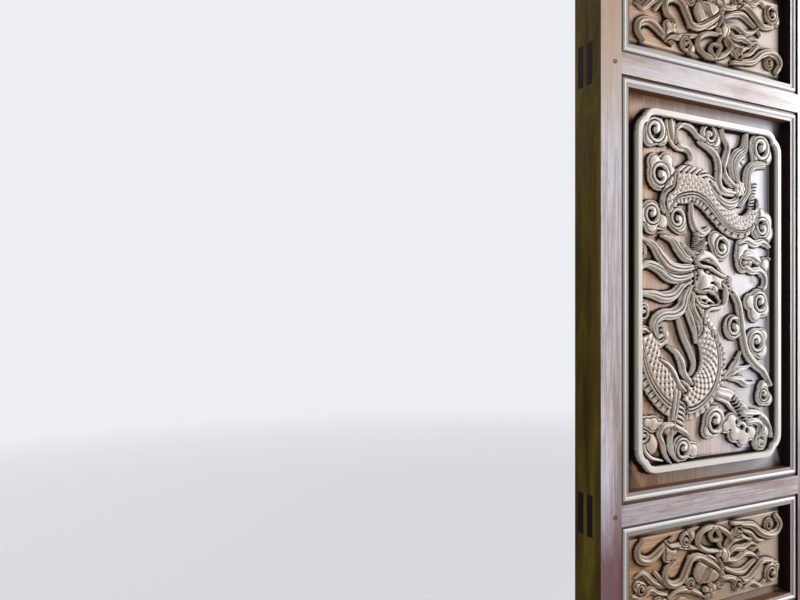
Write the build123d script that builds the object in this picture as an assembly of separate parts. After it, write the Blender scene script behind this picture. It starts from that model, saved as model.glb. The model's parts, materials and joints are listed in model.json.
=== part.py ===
"""Carved temple door: one panelled leaf, pivot hung in its own heavy frame.

Millimetres, +Z up, +Y towards the inside of the building. The origin is under the middle of the doorway,
on the plane that the frame stands on. The leaf is drawn shut, with its carved face towards -Y, and is then
turned about its pivots to the angle at which it stands open.
"""

import os
from math import atan2, cos, degrees, radians, sin

from build123d import *

# Leaf
LEAF_WIDTH = 580.0
LEAF_THICKNESS = 64.0
OPEN_ANGLE = 81.0            # how far the leaf stands open
STILE_HORN = 16.0            # stile end left standing past the edge rails
STILE_FLAT = 47.0            # plain face of a stile, outside the moulding
EDGE_RAIL_FLAT = 55.0        # plain face of the top and bottom rails
MID_RAIL_FLAT = 37.0         # plain face of the rails between panels
SHORT_OPENING = 220.0        # from rail flat to rail flat
TALL_OPENING = 746.0

# Moulding worked on the edge of every stile and rail, round each panel
MOULDING = 19.0
MOULDING_DEPTH = 22.0        # from the face of the leaf to the ground of the panels
QUIRK_WIDTH = 5.0
QUIRK_DEPTH = 4.0
BEAD_WIDTH = 8.0
BEAD_SET_BACK = 0.5
FILLET_DEPTH = 3.2
EDGE_LINE_WIDTH = 2.5        # scratched line along the top and bottom rails
EDGE_LINE_DEPTH = 2.0
EDGE_LINE_SETOUT = 15.0      # from the moulding to that line

# Panels
PANEL_THICKNESS = 14.0
PANEL_TONGUE = 9.0
GROOVE_DEPTH = 10.0
PANEL_CLEARANCE = 0.2
SLAB_MARGIN = 25.0           # between a tall panel's raised slab and the moulding
SHORT_SLAB_MARGIN = 15.0
SLAB_RISE = 16.5             # of a border, over the ground of the panel
FIELD_RISE = 1.5             # of the sunk field inside a border
SHORT_FIELD_RISE = 5.0
BORDER_WIDTH = 13.0
CUSP_SIZE = 46.0             # length of a border's cusped corner along each side
CUSP_NOTCH = 21.0            # the notch in the middle of that corner
CUSP_SAG = 6.5               # depth of a lobe
CUSP_LEAN = 3.0              # how far a lobe's deepest place lies off its middle
CUSP_TIGHTEN = 0.4           # how much shorter a corner is per millimetre of inset
CLOUD_RISE = 11.0
BODY_RISE = 13.5
LOCK_RISE = 15.0
HEAD_RISE = 17.0

# Joints of the leaf
TENON_THICKNESS = 14.0
FRONT_TENON_SETBACK = 20.0   # from the face of the leaf
REAR_TENON_SETBACK = 42.5
TENON_SHOULDER = 1.0         # above and below a tenon
PEG_RADIUS = 4.0
PEG_SETBACK = 33.0           # from the edge of the leaf
PEG_PROUD = 1.0
PEG_CLEARANCE = 0.05

# Pivots turned on the ends of the hinge stile
PIVOT_RADIUS = 14.0
PIVOT_CLEARANCE = 0.08
TOP_PIVOT_LENGTH = 45.0
TOP_SOCKET_DEPTH = 52.0      # over the stile's head, more than the pivot needs
PIVOT_END_GAP = 0.3
FOOT_PIVOT_LENGTH = 28.0

# Frame
POST_WIDTH = 150.0
FRAME_DEPTH = 150.0
HEAD_HEIGHT = 140.0
HEAD_LUG = 60.0              # the head's ends, built into a wall
THRESHOLD_HEIGHT = 340.0     # to the ledge under the leaf
LEAF_SIDE_GAP = 3.0
LEAF_FOOT_GAP = 8.0
LEAF_HEAD_GAP = 5.0
STOP_OVERLAP = 12.0
STOP_GAP = 1.0               # between the closed leaf and its stop
FRAME_TENON_THICKNESS = 44.0
FRAME_TENON_INSET = 15.0
THRESHOLD_TENON_LENGTH = 60.0
THRESHOLD_TENON_INSET = 50.0
FRAME_PEG_RADIUS = 7.0
FRAME_PEG_SHARES = (0.3, 0.7)            # places of a joint's two pegs
FRAME_EASING = 4.0           # eased outer arrises of the posts, the head and the threshold

# Locking bar on the back of the leaf, and its catch on the lock post
BAR_RISE = 62.0              # of its pivot, above the foot of the middle opening
BAR_SETBACK = 40.0           # of its pivot, from the free edge
BAR_LENGTH = 150.0           # from its pivot to its eye
BAR_WIDTH = 13.0
BAR_THICKNESS = 6.0
BAR_END_RADIUS = 9.0
EYE_RADIUS = 9.0
EYE_HOLE_RADIUS = 5.0
EYE_THICKNESS = 5.0
EYE_ROOT = 1.0               # how far a shank runs into its eye's ring
PLATE_RADIUS = 17.0
PLATE_THICKNESS = 2.5
STUD_RADIUS = 4.0
STUD_CLEARANCE = 0.05
STUD_COLLAR_RADIUS = 8.0
STUD_COLLAR = 8.0            # holds the bar off the plate
STUD_HEAD_RADIUS = 7.5
STUD_HEAD = 3.5
BAR_SIDE_GAP = 0.25
SCREW_CIRCLE = 20.0
SCREW_RADIUS = 3.0
SCREW_HEAD_RADIUS = 5.5
SCREW_HEAD = 1.8             # low enough for the bar's eye to pass over
SCREW_LENGTH = 22.0
EAR_RADIUS = 7.5             # ears of the plate round its screws
CATCH_GAP = 0.5              # between the bar's eye and the catch
CATCH_PLATE_WIDTH = 26.0
CATCH_PLATE_HEIGHT = 70.0
CATCH_SCREW_SPACING = 48.0

# Sizes that follow
FACE_Y = FRAME_DEPTH / 2 - LEAF_THICKNESS
BACK_Y = FRAME_DEPTH / 2
GROUND_Y = FACE_Y + MOULDING_DEPTH
FREE_X = -LEAF_WIDTH / 2
HINGE_X = LEAF_WIDTH / 2
STILE_WIDTH = STILE_FLAT + MOULDING
PIVOT_X = HINGE_X - LEAF_THICKNESS / 2
PIVOT_Y = FACE_Y + LEAF_THICKNESS / 2
STILE_FOOT = THRESHOLD_HEIGHT + LEAF_FOOT_GAP
RAIL_FOOT = STILE_FOOT + STILE_HORN
POST_X = HINGE_X + LEAF_SIDE_GAP
STOP_X = HINGE_X - STOP_OVERLAP
OUTER_X = POST_X + POST_WIDTH
OPENING_WIDTH = LEAF_WIDTH - 2 * STILE_FLAT
SIGHT_WIDTH = LEAF_WIDTH - 2 * STILE_WIDTH

RAILS = [
    ("bottom_rail", EDGE_RAIL_FLAT),
    ("lower_rail", MID_RAIL_FLAT),
    ("lower_middle_rail", MID_RAIL_FLAT),
    ("upper_middle_rail", MID_RAIL_FLAT),
    ("upper_rail", MID_RAIL_FLAT),
    ("top_rail", EDGE_RAIL_FLAT),
]
PANELS = [
    ("bottom_panel", SHORT_OPENING),
    ("dragon_panel", TALL_OPENING),
    ("middle_panel", SHORT_OPENING),
    ("medallion_panel", TALL_OPENING),
    ("top_panel", SHORT_OPENING),
]

# Foot of each rail's flat face and of each opening, from the bottom of the leaf upwards
rail_feet = []
opening_feet = []
level = RAIL_FOOT
for place, (_, flat) in enumerate(RAILS):
    rail_feet.append(level)
    level = level + flat
    if place < len(PANELS):
        opening_feet.append(level)
        level = level + PANELS[place][1]
RAIL_HEAD = level
STILE_HEAD = RAIL_HEAD + STILE_HORN
HEAD_FOOT = STILE_HEAD + LEAF_HEAD_GAP
HEAD_TOP = HEAD_FOOT + HEAD_HEIGHT

pivot_axis = Axis((PIVOT_X, PIVOT_Y, 0), (0, 0, 1))
nodes = {}


def block(x0, x1, y0, y1, z0, z1):
    """Upright box between two corners."""
    return Pos((x0 + x1) / 2, (y0 + y1) / 2, (z0 + z1) / 2) * Box(x1 - x0, y1 - y0, z1 - z0)


def rod_y(x, y0, y1, z, radius):
    """Round rod through the thickness of the leaf or frame."""
    return Pos(x, (y0 + y1) / 2, z) * Rot(90, 0, 0) * Cylinder(radius, y1 - y0)


def peg(x, y0, y1, z, radius):
    """Peg shaved to eight sides, or its hole, through the thickness of the leaf or frame."""
    prism = extrude(RegularPolygon(radius, 8), amount=(y1 - y0) / 2, both=True)
    return Pos(x, (y0 + y1) / 2, z) * Rot(90, 0, 0) * prism


def rod_z(x, y, z0, z1, radius):
    """Upright round rod."""
    return Pos(x, y, (z0 + z1) / 2) * Cylinder(radius, z1 - z0)


def front(x, z, along):
    """Work plane on the face of the leaf, with its first axis along an edge of an opening."""
    return Plane(origin=(x, FACE_Y, z), x_dir=along, z_dir=(0, -1, 0)).location


# Moulding

def moulding_run(length):
    """Quirk, bead and fillet along one side of an opening, mitred at both ends."""
    bead_end = QUIRK_WIDTH + BEAD_WIDTH
    crest = (QUIRK_WIDTH + BEAD_WIDTH / 2, -BEAD_SET_BACK)
    outline = [
        Polyline((bead_end, -FILLET_DEPTH), (MOULDING, -FILLET_DEPTH), (MOULDING, -MOULDING_DEPTH),
                 (0, -MOULDING_DEPTH), (0, -QUIRK_DEPTH), (QUIRK_WIDTH, -QUIRK_DEPTH)),
        ThreePointArc((QUIRK_WIDTH, -QUIRK_DEPTH), crest, (bead_end, -FILLET_DEPTH)),
    ]
    section = Plane(origin=(0, 0, 0), x_dir=(0, 1, 0), z_dir=(1, 0, 0)) * make_face(outline)
    run = extrude(section, amount=length)
    mitres = Polygon((0, 0), (length, 0), (length - MOULDING, MOULDING), (MOULDING, MOULDING), align=None)
    return run & (Pos(0, 0, -MOULDING_DEPTH) * extrude(mitres, amount=MOULDING_DEPTH))


stile_runs = {size: moulding_run(size) for size in (SHORT_OPENING, TALL_OPENING)}
rail_run = moulding_run(OPENING_WIDTH)


# Stiles

def mortises(x0, x1):
    """The twin slots or tenons of all the rails, between two places across the leaf."""
    pieces = {}
    for (name, flat), foot in zip(RAILS, rail_feet):
        low = foot - (0 if name == "bottom_rail" else MOULDING) + TENON_SHOULDER
        high = foot + flat + (0 if name == "top_rail" else MOULDING) - TENON_SHOULDER
        slots = []
        for setback in (FRONT_TENON_SETBACK, REAR_TENON_SETBACK):
            y0 = FACE_Y + setback
            slots.append(block(x0, x1, y0, y0 + TENON_THICKNESS, low, high))
        pieces[name] = slots
    return pieces


def peg_heights():
    """Middle of each rail's flat face."""
    return [foot + flat / 2 for (_, flat), foot in zip(RAILS, rail_feet)]


def stile(edge, inward):
    """One stile with its mouldings, grooves and mortises; edge is its outer side and inward is +1 or -1."""
    flat_x = edge + inward * STILE_FLAT
    inner_x = edge + inward * STILE_WIDTH
    body = block(min(edge, flat_x), max(edge, flat_x), FACE_Y, BACK_Y, STILE_FOOT, STILE_HEAD)
    body += block(min(edge, inner_x), max(edge, inner_x), GROUND_Y, BACK_Y, STILE_FOOT, STILE_HEAD)
    groove_x = inner_x - inward * GROOVE_DEPTH
    for (_, size), foot in zip(PANELS, opening_feet):
        if inward > 0:
            body += front(flat_x, foot + size, (0, 0, -1)) * stile_runs[size]
        else:
            body += front(flat_x, foot, (0, 0, 1)) * stile_runs[size]
        body -= block(min(groove_x, inner_x), max(groove_x, inner_x), GROUND_Y - PANEL_CLEARANCE,
                      GROUND_Y + PANEL_THICKNESS + PANEL_CLEARANCE,
                      foot + MOULDING - GROOVE_DEPTH, foot + size - MOULDING + GROOVE_DEPTH)
    for slots in mortises(min(edge, inner_x), max(edge, inner_x)).values():
        body -= slots
    peg_x = edge + inward * PEG_SETBACK
    body -= [peg(peg_x, FACE_Y, BACK_Y, z, PEG_RADIUS + PEG_CLEARANCE) for z in peg_heights()]
    return body


def hinge_stile():
    """Stile with its heel rounded about the pivots, which are turned on its ends."""
    square = block(PIVOT_X, HINGE_X, FACE_Y, BACK_Y, STILE_FOOT, STILE_HEAD)
    heel = square - rod_z(PIVOT_X, PIVOT_Y, STILE_FOOT, STILE_HEAD, LEAF_THICKNESS / 2)
    body = stile(HINGE_X, -1) - heel
    body += rod_z(PIVOT_X, PIVOT_Y, STILE_HEAD, STILE_HEAD + TOP_PIVOT_LENGTH, PIVOT_RADIUS)
    body += rod_z(PIVOT_X, PIVOT_Y, STILE_FOOT - FOOT_PIVOT_LENGTH, STILE_FOOT, PIVOT_RADIUS)
    return body


nodes["lock_stile"] = stile(FREE_X, 1)
nodes["hinge_stile"] = hinge_stile()


# Rails

def rail(name, flat, foot):
    """One rail with its mouldings, its grooves and its pair of through tenons at each end."""
    lower = name != "bottom_rail"
    upper = name != "top_rail"
    low = foot - (MOULDING if lower else 0)
    high = foot + flat + (MOULDING if upper else 0)
    flat_x = FREE_X + STILE_FLAT
    inner_x = FREE_X + STILE_WIDTH
    body = block(flat_x, -flat_x, FACE_Y, GROUND_Y, foot, foot + flat)
    body += block(inner_x, -inner_x, GROUND_Y, BACK_Y, low, high)
    groove = (GROUND_Y - PANEL_CLEARANCE, GROUND_Y + PANEL_THICKNESS + PANEL_CLEARANCE)
    if upper:
        body += front(flat_x, foot + flat, (1, 0, 0)) * rail_run
        body -= block(inner_x, -inner_x, *groove, high - GROOVE_DEPTH, high)
    if lower:
        body += front(-flat_x, foot, (-1, 0, 0)) * rail_run
        body -= block(inner_x, -inner_x, *groove, low, low + GROOVE_DEPTH)
    if lower != upper:
        middle = foot + flat - EDGE_LINE_SETOUT if upper else foot + EDGE_LINE_SETOUT
        body -= block(flat_x, -flat_x, FACE_Y, FACE_Y + EDGE_LINE_DEPTH,
                      middle - EDGE_LINE_WIDTH / 2, middle + EDGE_LINE_WIDTH / 2)
    body += mortises(FREE_X, inner_x)[name]
    body += mortises(-inner_x, HINGE_X)[name]
    for peg_x in (FREE_X + PEG_SETBACK, HINGE_X - PEG_SETBACK):
        body -= peg(peg_x, FACE_Y, BACK_Y, foot + flat / 2, PEG_RADIUS + PEG_CLEARANCE)
    # the ends of the tenons are trimmed to the rounded heel
    outside = block(PIVOT_X, HINGE_X + 1, FACE_Y, BACK_Y, low, high)
    return body - (outside - rod_z(PIVOT_X, PIVOT_Y, low, high, LEAF_THICKNESS / 2))


for (rail_name, rail_flat), rail_foot in zip(RAILS, rail_feet):
    nodes[rail_name] = rail(rail_name, rail_flat, rail_foot)


# Panels: a board tongued into the grooves, with a raised slab that carries the carving

def board(size, foot):
    """Plain board of a panel, with notched corners that clear the tenons."""
    half = SIGHT_WIDTH / 2
    low = foot + MOULDING
    high = foot + size - MOULDING
    back = GROUND_Y + PANEL_THICKNESS
    upright = block(-half, half, GROUND_Y, back, low - PANEL_TONGUE, high + PANEL_TONGUE)
    return upright + block(-half - PANEL_TONGUE, half + PANEL_TONGUE, GROUND_Y, back, low, high)


def cusped_slab(width, height, inset=0.0):
    """Outline of a tall slab, each corner cut to two round lobes that meet in a notch."""
    corner = CUSP_SIZE - inset * CUSP_TIGHTEN
    middle = (corner + CUSP_NOTCH) / 2 - CUSP_LEAN
    edges = []
    ends = []
    for sx, sy in ((1, 1), (-1, 1), (-1, -1), (1, -1)):
        x = sx * (width / 2 - inset)
        y = sy * (height / 2 - inset)
        on_side = (x, y - sy * corner)
        on_top = (x - sx * corner, y)
        kink = (x - sx * CUSP_NOTCH, y - sy * CUSP_NOTCH)
        side_mid = (x - sx * CUSP_SAG, y - sy * middle)
        top_mid = (x - sx * middle, y - sy * CUSP_SAG)
        arcs = [ThreePointArc(on_side, side_mid, kink), ThreePointArc(kink, top_mid, on_top)]
        edges.extend(arcs)
        ends.append((on_side, on_top) if sx * sy > 0 else (on_top, on_side))
    for here, following in zip(ends, ends[1:] + ends[:1]):
        edges.append(Line(here[1], following[0]))
    return Pos(width / 2, height / 2) * make_face(edges)


def stroke(points, widths, grow=(1, 1), steps=None):
    """Flat outline of one carved stroke along a smooth line; widths run from its root to its tip."""
    line = Spline(*[(u * grow[0], v * grow[1]) for u, v in points])
    steps = steps or len(points) + 2
    near = []
    far = []
    for step in range(steps + 1):
        share = step / steps
        place = share * (len(widths) - 1)
        before = min(int(place), len(widths) - 2)
        width = widths[before] + (widths[before + 1] - widths[before]) * (place - before)
        course = line % share
        side = Vector(-course.Y, course.X, 0) * (width * min(grow) / 2)
        near.append(line @ share + side)
        far.insert(0, line @ share - side)
    return make_face(Polyline(*near, *far, close=True))


def strokes(lines, grow):
    """Outlines of several strokes."""
    return [stroke(points, widths, grow) for points, widths in lines]


def lobe(u, v, radius, grow, sides=8):
    """Round lobe of a cloud, cut with a few flat sides."""
    return Pos(u * grow[0], v * grow[1]) * RegularPolygon(radius * min(grow), sides)


def clouds(groups, grow):
    """Clouds, each a group of lobes run together."""
    return [lobe(u, v, radius, grow) for group in groups for u, v, radius in group]


def cloud_eyes(groups, grow):
    """The raised eye in the first lobe of each cloud."""
    return [lobe(*group[0][:2], group[0][2] * EYE_SHARE, grow, 6) for group in groups]


def relief(faces, rise, field):
    """Carving of one height: all its outlines joined, cut to the field and raised."""
    return extrude((Sketch() + faces) & field, amount=rise, dir=(0, 0, 1))


# Dragon among clouds. Places are millimetres from the lower left corner of a slab of the drawn size, and
# they and the widths of the strokes grow or shrink with the real slab.

TALL_DRAWN = (398.0, 658.0)
EYE_SHARE = 0.36             # of a cloud's first lobe

MANE = [
    ([(148, 352), (127, 322), (98, 290), (51, 276), (46, 260), (70, 250)], (16, 24, 20, 9)),
    ([(148, 354), (98, 323), (72, 318), (10, 325)], (15, 23, 8)),
    ([(152, 364), (90, 355), (58, 371), (10, 368)], (15, 23, 9)),
    ([(152, 376), (86, 376), (64, 393), (14, 424)], (15, 26, 7)),
    ([(152, 388), (110, 409), (68, 430)], (14, 20, 5)),
    ([(154, 338), (150, 296), (168, 258), (158, 244)], (11, 14, 5)),
    ([(138, 324), (144, 278), (156, 234)], (10, 13, 5)),
]
INNER_LOCKS = [
    ([(106, 290), (128, 238), (150, 194), (128, 168)], (7, 12, 11, 5)),
    ([(82, 228), (118, 198), (142, 158)], (5, 16, 12)),
    ([(58, 206), (98, 176), (124, 146)], (5, 16, 12)),
]
TAIL_TUFT = [
    ([(190, 536), (238, 502), (286, 520)], (6, 20, 18)),
    ([(354, 588), (308, 570), (302, 528), (284, 508)], (14, 22, 20)),
    ([(300, 644), (276, 598), (266, 562), (272, 546)], (10, 28, 22)),
    ([(224, 650), (247, 611), (234, 568), (266, 537)], (7, 16, 15)),
    ([(166, 612), (215, 588), (220, 544), (262, 524)], (7, 18, 15)),
]
WHISKER = [
    ([(232, 340), (277, 308), (290, 246), (326, 189), (372, 146)], (10, 17, 17, 20, 12)),
]
LEG_FLAMES = [
    ([(238, 164), (272, 192), (282, 214)], (8, 19, 3)),
    ([(246, 164), (274, 178), (318, 188)], (8, 14, 3)),
    ([(254, 162), (302, 149), (326, 152)], (8, 17, 3)),
]
CLAWS = [
    ([(374, 40), (348, 82), (292, 92)], (6, 18, 14)),
    ([(336, 42), (342, 68), (306, 74)], (6, 15, 14)),
    ([(88, 14), (61, 60), (94, 84)], (5, 12, 12)),
    ([(108, 14), (90, 44), (92, 70)], (5, 12, 12)),
    ([(142, 52), (126, 68), (102, 80)], (5, 12, 11)),
]
LEGS = [
    ([(222, 134), (280, 104), (340, 78)], (26, 34, 18)),
    ([(106, 140), (101, 112), (94, 76)], (28, 26, 22)),
]
BODY = [
    ([(148, 300), (198, 234), (208, 196), (164, 131), (126, 124), (58, 162), (22, 240)],
     (40, 60, 62, 60, 44)),
    ([(78, 476), (98, 512), (140, 526), (214, 492), (276, 458), (324, 498), (316, 534)],
     (26, 60, 60, 48, 38, 18)),
]
RIBBON_CLOUDS = [
    ([(88, 652), (98, 614), (130, 597), (143, 572)], (22, 30, 15, 6)),
    ([(104, 604), (121, 640), (145, 636), (180, 618)], (8, 13, 10)),
    ([(146, 494), (158, 450), (194, 448)], (10, 20, 12)),
    ([(8, 254), (46, 246), (78, 238)], (12, 18, 12)),
]
CLOUDS = [
    [(52, 621, 27), (40, 604, 16)],
    [(196, 630, 24)],
    [(343, 621, 29), (354, 604, 20)],
    [(64, 540, 28), (50, 562, 17), (80, 566, 18)],
    [(42, 468, 26), (22, 464, 16), (48, 448, 17)],
    [(109, 464, 24)],
    [(228, 417, 26)],
    [(346, 461, 28), (342, 484, 20), (364, 470, 20)],
    [(296, 388, 22), (280, 412, 19), (318, 402, 24), (344, 394, 26)],
    [(340, 312, 28), (318, 300, 17), (340, 352, 28)],
    [(330, 233, 28), (348, 216, 17)],
    [(263, 262, 24)],
    [(352, 126, 20)],
    [(208, 83, 29), (190, 66, 15)],
    [(302, 54, 22), (270, 54, 20), (252, 74, 18)],
    [(341, 37, 20), (354, 56, 16)],
    [(122, 38, 25), (148, 32, 15)],
    [(24, 70, 15), (46, 54, 20)],
    [(22, 292, 17)],
    [(16, 400, 17)],
]
HEAD = [
    ([(150, 352), (178, 352), (214, 348)], (44, 50, 34)),
    ([(206, 348), (240, 350)], (34, 20)),
    ([(152, 320), (190, 302), (230, 316)], (12, 16, 10)),
    ([(150, 386), (204, 368), (240, 354)], (8, 11, 9)),
    ([(148, 434), (161, 412), (166, 388)], (6, 14, 13)),
    ([(186, 426), (166, 392)], (5, 10)),
    ([(116, 420), (160, 388)], (7, 13)),
    ([(162, 394), (188, 400), (226, 373)], (16, 22, 8)),
]


def dragon_carving(width, height):
    """The dragon, in four heights of relief, inside its border."""
    field = cusped_slab(width, height, BORDER_WIDTH / 2)
    grow = (width / TALL_DRAWN[0], height / TALL_DRAWN[1])
    locks = strokes(MANE + INNER_LOCKS + TAIL_TUFT + WHISKER + LEG_FLAMES + CLAWS, grow)
    return [
        relief(clouds(CLOUDS, grow) + strokes(RIBBON_CLOUDS, grow), CLOUD_RISE, field),
        relief(strokes(BODY + LEGS, grow), BODY_RISE, field),
        relief(locks + cloud_eyes(CLOUDS, grow), LOCK_RISE, field),
        relief(strokes(HEAD, grow), HEAD_RISE, field),
    ]


# Round medallion: two rings with running leaves between, a flower and leaves within, a flower and leaves in
# each corner, and a lotus above and below

MEDALLION_RADIUS = 153.0
MEDALLION_INNER_RADIUS = 109.5
RING_WIDTH = 8.5
RING_LEAVES = 14
RING_LEAF = (-22.0, 24.0, 17.0)          # root, tip and width of a running leaf
RING_LEAF_TILT = 20.0                    # of the running leaves, to either side in turn
INNER_LEAVES = 6
INNER_LEAF = ((26, 0), (68, 3), (97, -34))      # reach and turn of each place along an inner leaf
INNER_LEAF_WIDTHS = (12.0, 22.0, 4.0)
INNER_LEAF_START = 17.0                  # angle of the first one
INNER_BUD = (80.0, 36.0, 14.0)           # reach, turn and radius of the bud beside each inner leaf
FLOWER_RADIUS = 40.0
FLOWER_PETALS = 8
FLOWER_HEART_SHARE = 0.45                # of the flower's radius
PETAL_OUTLINE = ((-0.5, 0.5), (-0.24, 0.92), (0, 1.0), (0.24, 0.92))
PETAL_WIDEST = 0.55                      # share of a pointed petal's length
CORNER_FLOWER_RADIUS = 30.0
CORNER_FLOWER_PETALS = 5
CORNER_FLOWER_PLACE = (128.0, 250.0)
CORNER_LEAF = (12.0, 72.0, 22.0)
CORNER_LEAF_BENDS = (-60, -20, 20, 60)
LOTUS_PLACE = 232.0
LOTUS_HEART = 13.0
LOTUS_PETAL = (2.0, 46.0, 25.0)
LOTUS_SPREAD = 34.0                      # angle from one petal to the next
LOTUS_CLOUD = (42.0, 32.0)               # distance behind the lotus, and radius


def polar(u, v, reach, angle):
    """Place at a distance and an angle in degrees from a centre."""
    return (u + reach * cos(radians(angle)), v + reach * sin(radians(angle)))


def petal(u, v, angle, size, grow):
    """Pointed petal that points away from a centre; its size is its root, tip and width."""
    root, tip, width = [length * grow for length in size]
    widest = root + (tip - root) * PETAL_WIDEST
    spread = degrees(atan2(width / 2, widest))
    return Polygon(polar(u, v, root, angle), polar(u, v, widest, angle - spread), polar(u, v, tip, angle),
                   polar(u, v, widest, angle + spread), align=None)


def flower(u, v, radius, petals):
    """Open flower, as one outline with a round-ended petal at each step round it."""
    places = []
    step = 360 / petals
    for k in range(petals):
        for turn, share in PETAL_OUTLINE:
            places.append(polar(u, v, share * radius, 90 + step * (k + turn)))
    return Polygon(*places, align=None)


def medallion_carving(width, height):
    """The rings, flowers and leaves, inside their border."""
    field = cusped_slab(width, height, BORDER_WIDTH / 2)
    grow = min(width / TALL_DRAWN[0], height / TALL_DRAWN[1])
    u = width / 2
    v = height / 2
    rings = []
    for radius in (MEDALLION_RADIUS, MEDALLION_INNER_RADIUS):
        rings.append(Pos(u, v) * (Circle(radius * grow) - Circle((radius - RING_WIDTH) * grow)))
    middle_radius = (MEDALLION_RADIUS - RING_WIDTH + MEDALLION_INNER_RADIUS) / 2 * grow
    low = []
    for k in range(RING_LEAVES):
        angle = 360 / RING_LEAVES * k
        tilt = RING_LEAF_TILT if k % 2 else -RING_LEAF_TILT
        low.append(petal(*polar(u, v, middle_radius, angle), angle + 90 + tilt, RING_LEAF, grow))
    for k in range(INNER_LEAVES):
        angle = 360 / INNER_LEAVES * k + INNER_LEAF_START
        leaf = [polar(u, v, reach * grow, angle + turn) for reach, turn in INNER_LEAF]
        low.append(stroke(leaf, [width * grow for width in INNER_LEAF_WIDTHS], steps=5))
        reach, turn, radius = INNER_BUD
        low.append(Pos(*polar(u, v, reach * grow, angle + turn)) * RegularPolygon(radius * grow, 6))
    high = [flower(u, v, FLOWER_RADIUS * grow, FLOWER_PETALS)]
    for su in (-1, 1):
        for sv in (-1, 1):
            cu = u + su * CORNER_FLOWER_PLACE[0] * grow
            cv = v + sv * CORNER_FLOWER_PLACE[1] * grow
            high.append(flower(cu, cv, CORNER_FLOWER_RADIUS * grow, CORNER_FLOWER_PETALS))
            inward = degrees(atan2(-sv, -su))
            low.extend(petal(cu, cv, inward + bend, CORNER_LEAF, grow) for bend in CORNER_LEAF_BENDS)
    for sv in (-1, 1):
        lotus_v = v + sv * LOTUS_PLACE * grow
        behind, radius = LOTUS_CLOUD
        low.append(Pos(u, lotus_v + sv * behind * grow) * RegularPolygon(radius * grow, 8))
        for k in (-2, -1, 0, 1, 2):
            high.append(petal(u, lotus_v, sv * 90 + LOTUS_SPREAD * k, LOTUS_PETAL, grow))
        high.append(Pos(u, lotus_v) * RegularPolygon(LOTUS_HEART * grow, 6))
    return [
        relief(low, CLOUD_RISE, field),
        relief(high + rings, BODY_RISE, field),
        relief([Pos(u, v) * RegularPolygon(FLOWER_RADIUS * grow * FLOWER_HEART_SHARE, 8)], LOCK_RISE, field),
    ]


# Short panels: a bow of ribbons tied over a fan, with scrolling leaves, on a slab of the drawn size

SHORT_DRAWN = (418.0, 152.0)

LOW_LEAVES = [
    ([(12, 84), (46, 80), (108, 60)], (4, 15, 8)),
    ([(8, 52), (52, 56), (92, 40)], (8, 15, 6)),
    ([(96, 34), (146, 40), (188, 20)], (5, 13, 8)),
    ([(10, 22), (48, 13), (96, 24)], (6, 15, 6)),
    ([(104, 12), (130, 20), (172, 10)], (5, 13, 5)),
    ([(250, 62), (300, 48), (352, 80)], (8, 15, 5)),
    ([(256, 78), (306, 82), (346, 66)], (8, 15, 5)),
    ([(252, 92), (300, 112), (344, 94)], (8, 15, 5)),
    ([(306, 14), (330, 20), (366, 16)], (5, 12, 6)),
]
BRANCHES = [
    ([(268, 147), (330, 134), (384, 108), (410, 122), (402, 143)], (8, 15, 17, 12)),
    ([(236, 44), (286, 32), (338, 44), (360, 58), (406, 44)], (9, 15, 13, 10)),
    ([(150, 100), (140, 64), (164, 44)], (8, 13, 6)),
    ([(30, 148), (18, 128), (42, 111), (104, 141)], (10, 17, 17, 8)),
    ([(88, 138), (122, 126), (178, 112)], (6, 13, 7)),
]
RIBBONS = [
    ([(106, 98), (86, 76), (126, 60), (154, 96), (200, 84), (240, 54)], (10, 15, 15, 15, 10)),
    ([(232, 100), (176, 112), (192, 146), (252, 132), (250, 100)], (8, 11, 11, 11, 8)),
]
LEAF_CURLS = [
    [(28, 62, 13)],
    [(70, 30, 12)],
    [(380, 130, 13)],
    [(388, 30, 20)],
    [(286, 26, 13)],
    [(288, 128, 12)],
    [(140, 134, 15)],
    [(96, 112, 15)],
    [(154, 50, 11)],
    [(206, 28, 17), (236, 33, 13)],
]
FAN = [
    [(198, 70, 27), (184, 72, 22), (212, 66, 22)],
]
KNOT = [
    [(240, 90, 15)],
]


def ribbon_carving(width, height, upside_down):
    """Ribbons, leaves, fan and knot of a short panel."""
    field = Pos(width / 2, height / 2) * Rectangle(width, height)
    grow = (width / SHORT_DRAWN[0], height / SHORT_DRAWN[1])
    layers = [
        (strokes(LOW_LEAVES, grow) + clouds(LEAF_CURLS, grow), CLOUD_RISE),
        (clouds(FAN, grow), BODY_RISE),
        (strokes(BRANCHES + RIBBONS, grow) + clouds(KNOT, grow), LOCK_RISE),
    ]
    carving = [relief(faces, rise, field) for faces, rise in layers]
    if upside_down:
        carving = [mirror(layer, Plane.XZ.offset(-height / 2)) for layer in carving]
    return carving


def on_ground(margin, foot):
    """Work plane of a slab: its lower left corner, on the ground of the panel."""
    corner = (-SIGHT_WIDTH / 2 + margin, GROUND_Y, foot + MOULDING + margin)
    return Plane(origin=corner, x_dir=(1, 0, 0), z_dir=(0, -1, 0)).location


def tall_panel(foot, carving):
    """Tall panel: sunk field, cusped border and carving."""
    width = SIGHT_WIDTH - 2 * SLAB_MARGIN
    height = TALL_OPENING - 2 * MOULDING - 2 * SLAB_MARGIN
    outer = cusped_slab(width, height)
    border = extrude(outer - cusped_slab(width, height, BORDER_WIDTH), amount=SLAB_RISE)
    slab = extrude(outer, amount=FIELD_RISE) + border + carving(width, height)
    return board(TALL_OPENING, foot) + on_ground(SLAB_MARGIN, foot) * slab


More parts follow.
